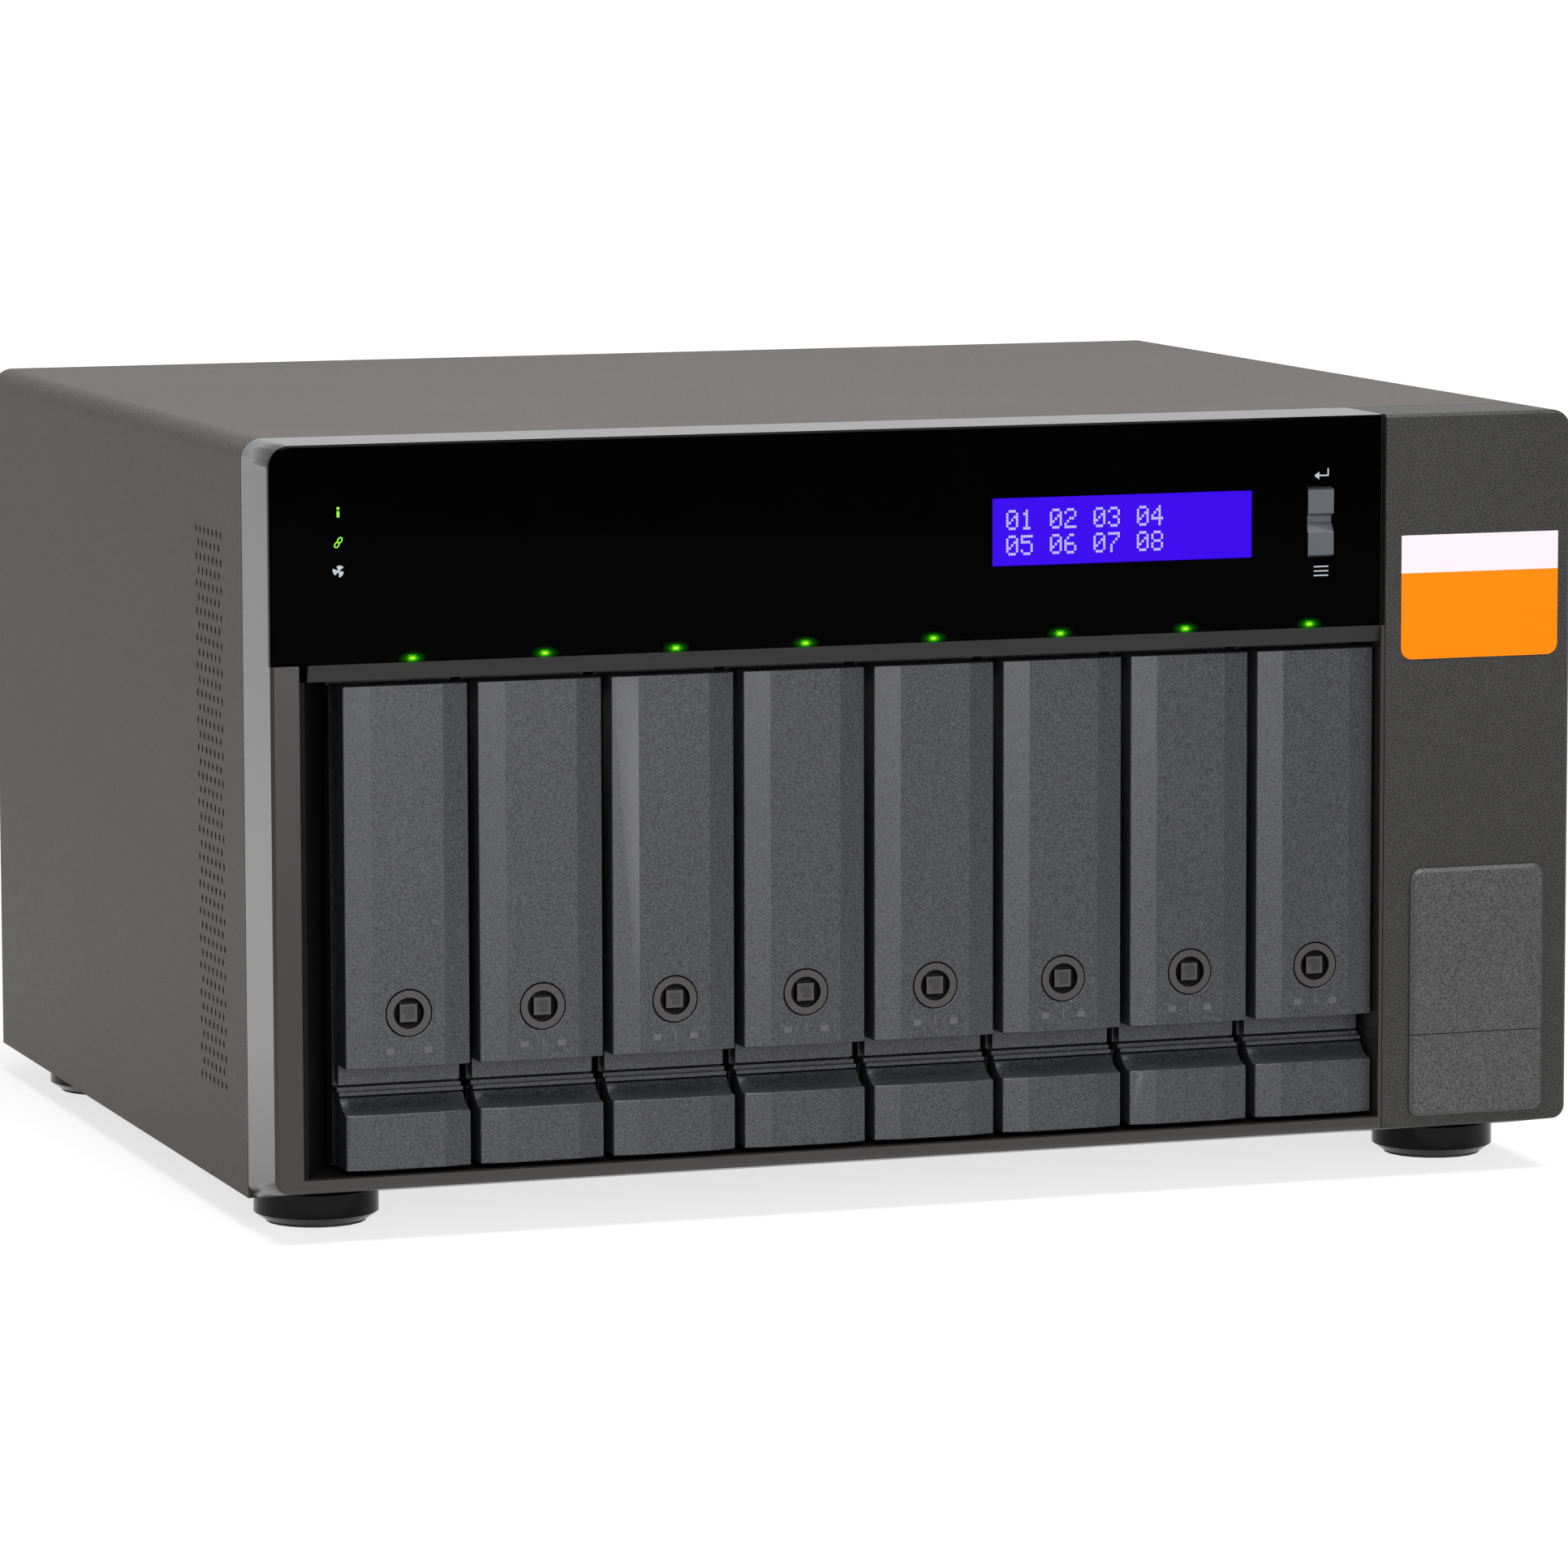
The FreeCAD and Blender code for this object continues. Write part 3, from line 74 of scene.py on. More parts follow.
class Shape:
    """Collects verts and faces of several flat or prismatic figures."""

    def __init__(self):
        self.verts = []
        self.faces = []

    def loop(self, points):
        start = len(self.verts)
        self.verts.extend(points)
        return list(range(start, start + len(points)))

    def flat(self, outline, y):
        """Flat polygon in the plane of the front, from (x, z) points going anticlockwise."""
        self.faces.append(self.loop([Vector((x, y, z)) for x, z in outline]))

    def raised(self, outline, y, height):
        """Low prism on a front face, from (x, z) points going anticlockwise."""
        back = self.loop([Vector((x, y, z)) for x, z in outline])
        front = self.loop([Vector((x, y - height, z)) for x, z in outline])
        self.sides(back, front)
        self.faces.append(front)
        self.faces.append(back[::-1])

    def sides(self, low, high):
        count = len(low)
        for i in range(count):
            j = (i + 1) % count
            self.faces.append([low[i], low[j], high[j], high[i]])


def rectangle(x0, x1, z0, z1):
    """Corners of an upright rectangle, anticlockwise from its lower left."""
    return [(x0, z0), (x1, z0), (x1, z1), (x0, z1)]


def circle(centre, radius, steps=20):
    """Points round a circle, anticlockwise."""
    turns = [2 * math.pi * i / steps for i in range(steps)]
    return [(centre[0] + radius * math.cos(t), centre[1] + radius * math.sin(t)) for t in turns]


def turned(outline, centre, angle):
    """Outline turned about a centre, in degrees."""
    c, s = math.cos(math.radians(angle)), math.sin(math.radians(angle))
    points = []
    for x, z in outline:
        dx, dz = x - centre[0], z - centre[1]
        points.append((centre[0] + c * dx - s * dz, centre[1] + s * dx + c * dz))
    return points


# ---- materials
class Graph:
    """Small helper around one node material."""

    def __init__(self, name):
        self.material = bpy.data.materials.new(name)
        self.material.use_nodes = True
        self.nodes = self.material.node_tree.nodes
        self.links = self.material.node_tree.links
        self.shader = self.nodes["Principled BSDF"]
        self.place = self.nodes.new("ShaderNodeTexCoord").outputs["Object"]

    def noise(self, scale, detail=2.0, roughness=0.5):
        node = self.nodes.new("ShaderNodeTexNoise")
        node.inputs["Scale"].default_value = scale
        node.inputs["Detail"].default_value = detail
        node.inputs["Roughness"].default_value = roughness
        self.links.new(self.place, node.inputs["Vector"])
        return node.outputs["Fac"]

    def remap(self, source, low, high, from_low=0.3, from_high=0.7):
        """Linear change of range, held at its ends; the defaults suit a noise."""
        node = self.nodes.new("ShaderNodeMapRange")
        for key, value in (("From Min", from_low), ("From Max", from_high),
                           ("To Min", low), ("To Max", high)):
            node.inputs[key].default_value = value
        self.links.new(source, node.inputs["Value"])
        return node.outputs["Result"]

    def mix(self, factor, first, second):
        """Blend of two colours, each a tuple or a socket."""
        node = self.nodes.new("ShaderNodeMix")
        node.data_type = "RGBA"
        self.links.new(factor, node.inputs["Factor"])
        for value, socket in ((first, node.inputs["A"]), (second, node.inputs["B"])):
            if isinstance(value, tuple):
                socket.default_value = (*value, 1.0)
            else:
                self.links.new(value, socket)
        return node.outputs["Result"]

    def times(self, first, second):
        node = self.nodes.new("ShaderNodeMath")
        node.operation = "MULTIPLY"
        self.links.new(first, node.inputs[0])
        self.links.new(second, node.inputs[1])
        return node.outputs["Value"]

    def scaled(self, color, factor):
        """Colour times a changing factor."""
        node = self.nodes.new("ShaderNodeVectorMath")
        node.operation = "SCALE"
        node.inputs[0].default_value = color
        self.links.new(factor, node.inputs["Scale"])
        return node.outputs["Vector"]

    def along(self, axis):
        """The place on the object along X, Y or Z."""
        node = self.nodes.new("ShaderNodeSeparateXYZ")
        self.links.new(self.place, node.inputs["Vector"])
        return node.outputs[axis]

    def bump(self, source, strength, distance):
        node = self.nodes.new("ShaderNodeBump")
        node.inputs["Strength"].default_value = strength
        node.inputs["Distance"].default_value = distance
        self.links.new(source, node.inputs["Height"])
        self.links.new(node.outputs["Normal"], self.shader.inputs["Normal"])

    def set(self, key, value):
        """Gives a shader input a socket, a colour or a number."""
        socket = self.shader.inputs[key]
        if hasattr(value, "is_output"):
            self.links.new(value, socket)
        elif isinstance(value, tuple):
            socket.default_value = (*value, 1.0)
        else:
            socket.default_value = value


def shade(color, factor):
    return tuple(min(1.0, c * factor) for c in color)


def grained(name, color, rough, grain, depth, contrast=0.18, metallic=0.0, specular=0.5, cloud=0.05):
    """Moulded or coated surface: fine grain in colour, gloss and relief, with a slow drift of tone."""
    g = Graph(name)
    fine = g.noise(1.0 / grain, 2.0, 0.55)
    slow = g.noise(18.0, 2.0)
    drift = g.remap(slow, 1 - cloud, 1 + cloud)
    speck = g.remap(fine, 1 - contrast, 1 + contrast)
    g.set("Base Color", g.scaled(color, g.times(drift, speck)))
    g.set("Roughness", g.remap(fine, rough - 0.06, rough + 0.08))
    g.set("Metallic", metallic)
    g.set("Specular IOR Level", specular)
    g.bump(fine, 0.5, depth)
    return g.material


def glossy(name, color, rough, specular):
    """Polished moulding with faint unevenness."""
    g = Graph(name)
    slow = g.noise(60.0, 2.0)
    g.set("Base Color", g.mix(slow, shade(color, 0.8), shade(color, 1.2)))
    g.set("Roughness", g.remap(slow, rough, rough + 0.03))
    g.set("Specular IOR Level", specular)
    return g.material


def lit(name, color, strength, dim=0.8):
    """Self-lit print or indicator with slight unevenness."""
    g = Graph(name)
    slow = g.noise(900.0, 1.0)
    g.set("Base Color", shade(color, 0.1))
    g.set("Roughness", 0.4)
    g.set("Specular IOR Level", 0.05)
    g.set("Emission Color", g.mix(slow, shade(color, dim), color))
    g.set("Emission Strength", strength)
    return g.material


LABEL_SPLIT = 0.696                  # share of the label's height that is orange


def label_material():
    """Two-tone paper label, pale above and orange below."""
    g = Graph("label_print")
    split = LABEL_LOW.z + (LABEL_HIGH.z - LABEL_LOW.z) * LABEL_SPLIT
    step = g.remap(g.along("Z"), 0.0, 1.0, split - 0.02 * MM, split + 0.02 * MM)
    fibre = g.noise(2600.0, 2.0)
    low = g.mix(fibre, (0.93, 0.215, 0.0), (1.0, 0.25, 0.0))
    high = g.mix(fibre, (0.80, 0.72, 0.76), (0.88, 0.80, 0.84))
    g.set("Base Color", g.mix(step, low, high))
    g.set("Roughness", g.remap(fibre, 0.38, 0.5))
    g.set("Specular IOR Level", 0.1)
    g.bump(fibre, 0.2, 0.01 * MM)
    return g.material


GLOW_STOPS = (                       # distance from the middle, then colour and cover
    (0.00, (0.80, 1.00, 0.16, 1.0)),
    (0.07, (0.50, 1.00, 0.03, 1.0)),
    (0.13, (0.05, 0.55, 0.00, 0.8)),
    (0.28, (0.01, 0.28, 0.00, 0.2)),
    (0.50, (0.00, 0.15, 0.00, 0.0)),
)


def glow_material():
    """Light spilling round an indicator: yellow-green core, green halo, clear at its edge."""
    g = Graph("led_glow")
    uv = g.nodes.new("ShaderNodeTexCoord").outputs["UV"]
    centre = g.nodes.new("ShaderNodeVectorMath")
    centre.operation = "DISTANCE"
    centre.inputs[1].default_value = (0.5, 0.5, 0.0)
    g.links.new(uv, centre.inputs[0])
    ramp = g.nodes.new("ShaderNodeValToRGB")
    band = ramp.color_ramp
    while len(band.elements) < len(GLOW_STOPS):
        band.elements.new(0.5)
    for element, (place, color) in zip(band.elements, GLOW_STOPS):
        element.position = place
        element.color = color
    g.links.new(centre.outputs["Value"], ramp.inputs["Fac"])
    g.set("Base Color", (0.0, 0.0, 0.0))
    g.set("Emission Color", ramp.outputs["Color"])
    g.set("Emission Strength", 1.0)
    g.set("Alpha", ramp.outputs["Alpha"])
    g.set("Specular IOR Level", 0.0)
    return g.material


def board_material():
    g = Graph("board_mask")
    traces = g.nodes.new("ShaderNodeTexBrick")
    traces.inputs["Scale"].default_value = 260.0
    traces.inputs["Mortar Size"].default_value = 0.03
    traces.inputs["Color1"].default_value = (0.006, 0.06, 0.022, 1)
    traces.inputs["Color2"].default_value = (0.008, 0.075, 0.03, 1)
    traces.inputs["Mortar"].default_value = (0.02, 0.14, 0.05, 1)
    g.links.new(g.place, traces.inputs["Vector"])
    g.set("Base Color", traces.outputs["Color"])
    g.set("Roughness", g.remap(g.noise(400.0), 0.3, 0.42))
    return g.material


def zinc_material():
    """Zinc-plated sheet with a soft spangle."""
    g = Graph("zinc_sheet")
    spangle = g.nodes.new("ShaderNodeTexVoronoi")
    spangle.inputs["Scale"].default_value = 90.0
    g.links.new(g.place, spangle.inputs["Vector"])
    g.set("Base Color", g.mix(spangle.outputs["Distance"], (0.42, 0.42, 0.43), (0.6, 0.6, 0.59)))
    g.set("Metallic", 1.0)
    g.set("Roughness", g.remap(g.noise(300.0), 0.3, 0.42))
    return g.material


BEZEL_COLOR = (0.023, 0.0205, 0.0195)
TRAY_COLOR = (0.0325, 0.0335, 0.0375)
RING_COLOR = (0.040, 0.036, 0.036)
MARK_COLOR = (0.080, 0.080, 0.084)
LEDGE_PAINTED_SHADE = 0.3                    # painted shade: the ledge's colour against the rest of the bezel, standing in for the panel's shadow
POST_SET = 0.4 * MM                  # the lock's post lies this far behind its ring
LOCK_SHALLOW = POST_SET + 0.02 * MM  # painted shade: the lock is dark behind this depth, standing in for the shadow in its well


def bezel_material():
    """Satin moulding; the ledge between the trays and the panel is duller, and darker by painted shade for
    the panel's shadow.
    """
    g = Graph("bezel_satin")
    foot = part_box("tray_handle_1")[1].z
    below = g.remap(g.along("Z"), 0.0, 1.0, foot + 0.8 * MM, foot + 1.0 * MM)
    above = g.remap(g.along("Z"), 1.0, 0.0, PANEL_LOW.z + 0.1 * MM, PANEL_LOW.z + 0.2 * MM)
    behind = g.remap(g.along("Y"), 0.0, 1.0, FACE_Y + 0.3 * MM, FACE_Y + 0.5 * MM)
    inside = g.remap(g.along("X"), 0.0, 1.0, PANEL_LOW.x + 2.0 * MM, PANEL_LOW.x + 2.2 * MM)
    # painted shade: mask of the ledge under the panel, whose colour is darkened below
    ledge = g.times(g.times(below, above), g.times(behind, inside))
    fine = g.noise(4000.0, 2.0)
    plain = g.mix(fine, shade(BEZEL_COLOR, 0.92), shade(BEZEL_COLOR, 1.08))
    g.set("Base Color", g.mix(ledge, plain, shade(BEZEL_COLOR, LEDGE_PAINTED_SHADE)))
    g.set("Roughness", g.remap(ledge, 0.25, 0.6, 0.0, 1.0))
    g.set("Specular IOR Level", 0.5)
    g.bump(fine, 0.4, 0.003 * MM)
    return g.material


def lock_material():
    """Satin ring and keyway post; what lies behind their faces is painted near black as shade in the well.
    """
    g = Graph("lock_satin")
    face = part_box("tray_lock_1")[0].y
    # painted shade: near black behind the shallow depth, for the shadow in the well
    depth = g.remap(g.along("Y"), 0.0, 1.0, face + LOCK_SHALLOW, face + LOCK_SHALLOW + 0.02 * MM)
    fine = g.noise(3400.0, 2.0)
    ring = g.mix(fine, shade(RING_COLOR, 0.8), shade(RING_COLOR, 1.2))
    g.set("Base Color", g.mix(depth, ring, (0.002, 0.002, 0.002)))
    g.set("Roughness", g.remap(fine, 0.34, 0.46))
    g.set("Specular IOR Level", 0.45)
    return g.material


def make_materials():
    return {
        "cover_paint": grained("cover_coat", (0.067, 0.0595, 0.0555), 0.50, 0.55 * MM, 0.12 * MM, 0.95,
                               specular=0.15),
        "dark_steel": grained("base_coat", (0.06, 0.056, 0.055), 0.5, 0.5 * MM, 0.06 * MM, 0.5,
                              specular=0.2),
        "bezel_plastic": bezel_material(),
        "fascia_plastic": grained("fascia_grain", (0.0335, 0.0325, 0.0315), 0.5, 0.36 * MM, 0.03 * MM, 0.95,
                                  specular=0.25),
        "door_plastic": grained("door_grain", (0.057, 0.057, 0.058), 0.42, 0.36 * MM, 0.03 * MM, 0.9,
                                specular=0.4),
        "tray_plastic": grained("tray_grain", TRAY_COLOR, 0.34, 0.36 * MM, 0.018 * MM, 0.95, specular=0.5),
        "lock_plastic": lock_material(),
        "mark_relief": grained("mark_relief", MARK_COLOR, 0.5, 0.3 * MM, 0.01 * MM, 0.1),
        "gloss_black": glossy("panel_gloss", (0.0003, 0.0003, 0.0003), 0.04, 0.02),
        "led_green": lit("led_core", (0.03, 0.42, 0.0), 1.0),
        "lcd_blue": lit("lcd_backlight", (0.040, 0.0, 0.78), 1.0, 0.97),
        "key_plastic": grained("key_satin", (0.076, 0.084, 0.096), 0.34, 0.3 * MM, 0.008 * MM, 0.1),
        "label_paper": label_material(),
        "cage_black": grained("cage_black", (0.0025, 0.0025, 0.0026), 0.6, 0.4 * MM, 0.02 * MM, 0.2,
                              specular=0.1),
        "circuit_board": board_material(),
        "connector_black": grained("connector_black", (0.012, 0.012, 0.013), 0.45, 0.3 * MM, 0.01 * MM, 0.2),
        "keyway_dark": grained("keyway_dark", (0.012, 0.012, 0.012), 0.5, 0.25 * MM, 0.02 * MM, 0.8),
        "bright_steel": zinc_material(),
        "screw_black": grained("screw_oxide", (0.02, 0.02, 0.021), 0.35, 0.3 * MM, 0.01 * MM, 0.2,
                               metallic=0.9),
        "foot_gloss": glossy("foot_gloss", (0.001, 0.001, 0.001), 0.05, 0.15),
        "foot_rubber": grained("foot_rubber", (0.018, 0.018, 0.018), 0.7, 0.5 * MM, 0.03 * MM, 0.2),
        "mark_white": lit("mark_white", (0.58, 0.65, 0.72), 0.9),
        "mark_green": lit("mark_green", (0.30, 0.95, 0.05), 1.0),
        "lcd_dots": lit("lcd_dots", (0.62, 0.58, 1.0), 0.95),
        "led_glow": glow_material(),
    }


MATERIALS = make_materials()
RESTYLED = {"slide_cover": "door_plastic", "lower_plate": "door_plastic"}


def dress_nodes():
    """Gives every CAD node the material of its slot."""
    for entry in frame["record"]["subparts"]:
        node = entry["node"]
        material = MATERIALS[RESTYLED.get(node, entry["material_slot"])]
        slots = NODES[node].material_slots
        if not slots:
            NODES[node].data.materials.append(material)
        for slot in slots:
            slot.link = "OBJECT"
            slot.material = material


WELD_REACH = 0.001 * MM
TRAY_EDGE = 0.4 * MM
DOOR_EDGE = 0.25 * MM
FRAME_EDGE = 0.3 * MM


def weld(piece):
    """Joins the facets' shared corners, by a modifier."""
    modifier = piece.modifiers.new("weld", "WELD")
    modifier.merge_threshold = WELD_REACH


def soften(node, width, segments=2):
    """Small rounded edges on a CAD node, by modifiers only."""
    piece = NODES[node]
    weld(piece)
    bevel = piece.modifiers.new("edge", "BEVEL")
    bevel.width = width
    bevel.segments = segments
    bevel.limit_method = "ANGLE"
    bevel.angle_limit = math.radians(25)
    bevel.harden_normals = True
    bevel.use_clamp_overlap = True


def soften_nodes():
    for index in range(1, TRAY_COUNT + 1):
        for piece in ("tray_handle", "tray_release", "tray_carrier"):
            soften("%s_%d" % (piece, index), TRAY_EDGE)
    for node in ("slide_cover", "lower_plate", "select_rocker"):
        soften(node, DOOR_EDGE)
    for node in ("bezel_frame", "side_fascia"):
        soften(node, FRAME_EDGE)


# ---- side vents
VENT_ROWS = 41
VENT_WIDE = 7                        # holes in every other row; the rows between have one less
VENT_COLUMN_STEP = 3.77 * MM
VENT_ROW_STEP = 3.3 * MM
VENT_HOLE_H = 2.0 * MM
VENT_HOLE_W = 1.3 * MM
VENT_SET = 67.1 * MM                 # rear column behind the panel's face
VENT_DROP = 24.4 * MM                # top row below the cover's top
VENT_REACH = 3 * MM                  # the cutter's reach each side of the sheet


def vent_outline(y, z):
    """Round-ended slot in the plane of the cover's side."""
    points = []
    half = VENT_HOLE_W / 2
    straight = VENT_HOLE_H / 2 - half
    for side, start in ((1, 0), (-1, 180)):
        for step in range(4):
            turn = math.radians(start + 60 * step)
            points.append((y + half * math.cos(turn), z + side * straight + half * math.sin(turn)))
    return points


def cut_vents():
    """Punches the staggered slots through both sides of the cover."""
    shape = Shape()
    for side_x in (COVER_LOW.x, COVER_HIGH.x):
        for row in range(VENT_ROWS):
            odd = row % 2
            for column in range(VENT_WIDE - odd):
                y = FACE_Y + VENT_SET - (column + odd / 2) * VENT_COLUMN_STEP
                z = COVER_HIGH.z - VENT_DROP - row * VENT_ROW_STEP
                outline = vent_outline(y, z)
                low = shape.loop([Vector((side_x - VENT_REACH, a, b)) for a, b in outline])
                high = shape.loop([Vector((side_x + VENT_REACH, a, b)) for a, b in outline])
                shape.sides(low, high)
                shape.faces.append(low[::-1])
                shape.faces.append(high)
    cutter = make_object("vent_cutter", shape.verts, shape.faces, MATERIALS["cover_paint"], None)
    cutter.hide_render = True
    cutter.hide_viewport = True
    cover = NODES["top_cover"]
    weld(cover)
    cut = cover.modifiers.new("vents", "BOOLEAN")
    cut.operation = "DIFFERENCE"
    cut.solver = "EXACT"
    cut.object = cutter


# ---- indicators and printed marks on the dark panel
def tray_centres():
    centres = []
    for index in range(1, TRAY_COUNT + 1):
        low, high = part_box("tray_handle_%d" % index)
        centres.append((low.x + high.x) / 2)
    return centres


LED_WIDTH = 1.8 * MM
GLOW_W, GLOW_H = 7.0 * MM, 3.4 * MM


def led_glows():
    """Soft light on the panel round each indicator."""
    low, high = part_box("drive_leds")
    z = (low.z + high.z) / 2
    first, last = low.x + LED_WIDTH / 2, high.x - LED_WIDTH / 2
    shape = Shape()
    for index in range(TRAY_COUNT):
        x = first + (last - first) * index / (TRAY_COUNT - 1)
        patch = rectangle(x - GLOW_W / 2, x + GLOW_W / 2, z - GLOW_H / 2, z + GLOW_H / 2)
        shape.flat(patch, FACE_Y - SKIN)
    piece = make_object("led_glows", shape.verts, shape.faces, MATERIALS["led_glow"], "chassis")
    uv = piece.data.uv_layers.new(name="spread")
    for polygon in piece.data.polygons:
        for corner, place in zip(polygon.loop_indices, ((0, 0), (1, 0), (1, 1), (0, 1))):
            uv.data[corner].uv = place


I_HALF = 0.34 * MM                   # half the width of the power mark's bar
STATUS_X = PANEL_LOW.x + 16.5 * MM
STATUS_Z = [PANEL_HIGH.z - drop * MM for drop in (15.75, 22.75, 29.4)]   # power, link and fan
LINK_HALF_W, LINK_HALF_H = 0.62 * MM, 0.86 * MM
LINK_LEAN = -35                      # degrees
BLADE_R = 1.5 * MM


def link_ring(shape, centre, y):
    """One leaning link of a chain symbol."""
    outer = [(LINK_HALF_W * math.cos(t), LINK_HALF_H * math.sin(t))
             for t in (math.radians(20 * step) for step in range(18))]
    band = [(0.5 * a, 0.6 * b) for a, b in outer]
    count = len(outer)
    for i in range(count):
        j = (i + 1) % count
        quad = [(centre[0] + a, centre[1] + b) for a, b in (outer[i], outer[j], band[j], band[i])]
        shape.flat(turned(quad, centre, LINK_LEAN), y)


def fan_symbol(shape, centre, y):
    """Three swept blades round a hub."""
    for blade in range(3):
        outline = [(centre[0], centre[1])]
        for step in range(7):
            turn = math.radians(13 * step)
            radius = BLADE_R - 0.05 * MM * step
            outline.append((centre[0] + radius * math.cos(turn), centre[1] + radius * math.sin(turn)))
        shape.flat(turned(outline, centre, 120 * blade + 35), y)
    shape.flat(circle(centre, 0.34 * MM, 10), y - SKIN)


def status_marks():
    """Dot over bar, chain link and fan symbol."""
    y = FACE_Y - SKIN
    x = STATUS_X
    green = Shape()
    top = STATUS_Z[0]
    green.flat(rectangle(x - I_HALF, x + I_HALF, top - 1.15 * MM, top + 0.3 * MM), y)
    green.flat(circle((x, top + 0.95 * MM), 0.38 * MM, 12), y)
    for side in (-1, 1):
        link_ring(green, (x + side * 0.36 * MM, STATUS_Z[1] + side * 0.52 * MM), y)
    white = Shape()
    fan_symbol(white, (x, STATUS_Z[2]), y)
    make_object("status_marks", green.verts, green.faces, MATERIALS["mark_green"], "chassis")
    make_object("fan_mark", white.verts, white.faces, MATERIALS["mark_white"], "chassis")


KEY_MARK_HALF = 1.9 * MM             # half the width of the marks above and below the rocker key
BAR_STEP = 1.08 * MM
BAR_HALF = 0.15 * MM


def key_marks():
    """Return arrow above the rocker key and three bars below it."""
    y = FACE_Y - SKIN
    centre = (ROCKER_LOW.x + ROCKER_HIGH.x) / 2
    left, right = centre - KEY_MARK_HALF, centre + KEY_MARK_HALF
    shape = Shape()
    bar = ROCKER_LOW.z - 2.2 * MM
    for step in range(3):
        z = bar - step * BAR_STEP
        shape.flat(rectangle(left, right, z - BAR_HALF, z + BAR_HALF), y)
    z = ROCKER_HIGH.z + 2.9 * MM
    line = 0.17 * MM
    shape.flat(rectangle(left + 0.8 * MM, right, z - line, z + line), y)
    shape.flat(rectangle(right - 2 * line, right, z + line, z + 1.7 * MM), y)
    shape.flat([(left, z), (left + 1.3 * MM, z - 0.95 * MM), (left + 1.3 * MM, z + 0.95 * MM)], y)
    make_object("key_marks", shape.verts, shape.faces, MATERIALS["mark_white"], "chassis")


# ---- dot-matrix digits on the display: the bay numbers, two rows of four
DIGIT_ROWS = {
    "0": "01110 10001 10011 10101 11001 10001 01110",
    "1": "00100 01100 00100 00100 00100 00100 01110",
    "2": "01110 10001 00001 00110 01000 10000 11111",
    "3": "01110 10001 00001 00110 00001 10001 01110",
    "4": "00010 00110 01010 10010 11111 00010 00010",
    "5": "11111 10000 11110 00001 00001 10001 01110",
    "6": "00110 01000 10000 11110 10001 10001 01110",
    "7": "11111 00001 00010 00100 01000 01000 01000",
    "8": "01110 10001 10001 01110 10001 10001 01110",
}
LCD_LINES = ("01 02 03 04", "05 06 07 08")
LCD_DOT = 0.62 * MM                  # a dot's width with its gap
LCD_DOT_H = 1.12 * LCD_DOT
LCD_GAP = 0.09 * MM
LCD_LINE_STEP = 6.1 * MM
LCD_BORDER_X, LCD_BORDER_Z = 9.6 * MM, 6.9 * MM   # from the module's edge to the first dot


def lcd_digits():
    left = LCD_LOW.x + LCD_BORDER_X
    top = LCD_HIGH.z - LCD_BORDER_Z
    shape = Shape()
    for line, text in enumerate(LCD_LINES):
        for place, letter in enumerate(text):
            for row, bits in enumerate(DIGIT_ROWS.get(letter, "").split()):
                for column, bit in enumerate(bits):
                    if bit == "0":
                        continue
                    x = left + (place * 6 + column) * LCD_DOT
                    z = top - line * LCD_LINE_STEP - row * LCD_DOT_H
                    dot = rectangle(x, x + LCD_DOT - LCD_GAP, z - LCD_DOT_H + LCD_GAP, z)
                    shape.flat(dot, LCD_LOW.y - SKIN)
    make_object("lcd_digits", shape.verts, shape.faces, MATERIALS["lcd_dots"], "chassis")


# ---- lock marks on the handles
MARK_RELIEF = 0.18 * MM
MARK_DROP = 3.1 * MM                 # marks' middle below the lock
MARK_SIDE = 4.6 * MM                 # padlocks beside the tick
SHACKLE_R = 0.62 * MM
OPEN_SHIFT = 1.3 * MM                # the open padlock's shackle stands this far aside


def padlock(shape, x, z, shackle_x, y):
    """Embossed padlock: a body with a shackle over its middle, or beside it where it is open."""
    body = rectangle(x - 1.0 * MM, x + 1.0 * MM, z - 1.15 * MM, z + 0.3 * MM)
    shape.raised(body, y, MARK_RELIEF)
    centre = (shackle_x, z + 0.35 * MM)
    turns = [math.radians(180 - 30 * step) for step in range(7)]
    for first, second in zip(turns, turns[1:]):
        band = [(second, SHACKLE_R), (first, SHACKLE_R), (first, 0.6 * SHACKLE_R), (second, 0.6 * SHACKLE_R)]
        shape.raised([(centre[0] + r * math.cos(t), centre[1] + r * math.sin(t)) for t, r in band],
                     y, MARK_RELIEF)


def lock_marks():
    """Open padlock, tick and closed padlock embossed below each key lock."""
    for index, x in enumerate(tray_centres(), start=1):
        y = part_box("tray_handle_%d" % index)[0].y + SKIN
        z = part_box("tray_lock_%d" % index)[0].z - MARK_DROP
        shape = Shape()
        shape.raised(rectangle(x - 0.16 * MM, x + 0.16 * MM, z - 1.2 * MM, z + 1.2 * MM), y, MARK_RELIEF)
        padlock(shape, x - MARK_SIDE, z, x - MARK_SIDE - OPEN_SHIFT, y)
        padlock(shape, x + MARK_SIDE, z, x + MARK_SIDE, y)
        make_object("lock_marks_%d" % index, shape.verts, shape.faces, MATERIALS["mark_relief"],
                    "handle_%d" % index)


# ---- keyways in the lock posts, and the floor of the well round them, both drawn as dark sheets of painted shade
KEYWAY = 2.9 * MM
LOCK_DROP = 5.4 * MM                 # the lock's axis above its ring's lowest point
WELL_R = 3.7 * MM
WELL_D = 2.4 * MM                    # the well's floor behind the ring's face
POST_HALF = 2.1 * MM


def keyway_outline(x, z):
    """Worn socket in the face of a keyway post, with one corner filled, drawn as a flat dark sheet of
    painted shade.
    """
    half = KEYWAY / 2
    cut = 0.35 * half
    points = [(-half + cut, -half), (half - cut, -half), (half, -half + cut), (half, half - cut),
              (half - cut, half), (-half + cut, half), (-half, half - cut), (-half, 0.1 * half),
              (-0.4 * half, -0.2 * half), (-0.4 * half, -0.7 * half)]
    return [(x + a, z + b) for a, b in points]


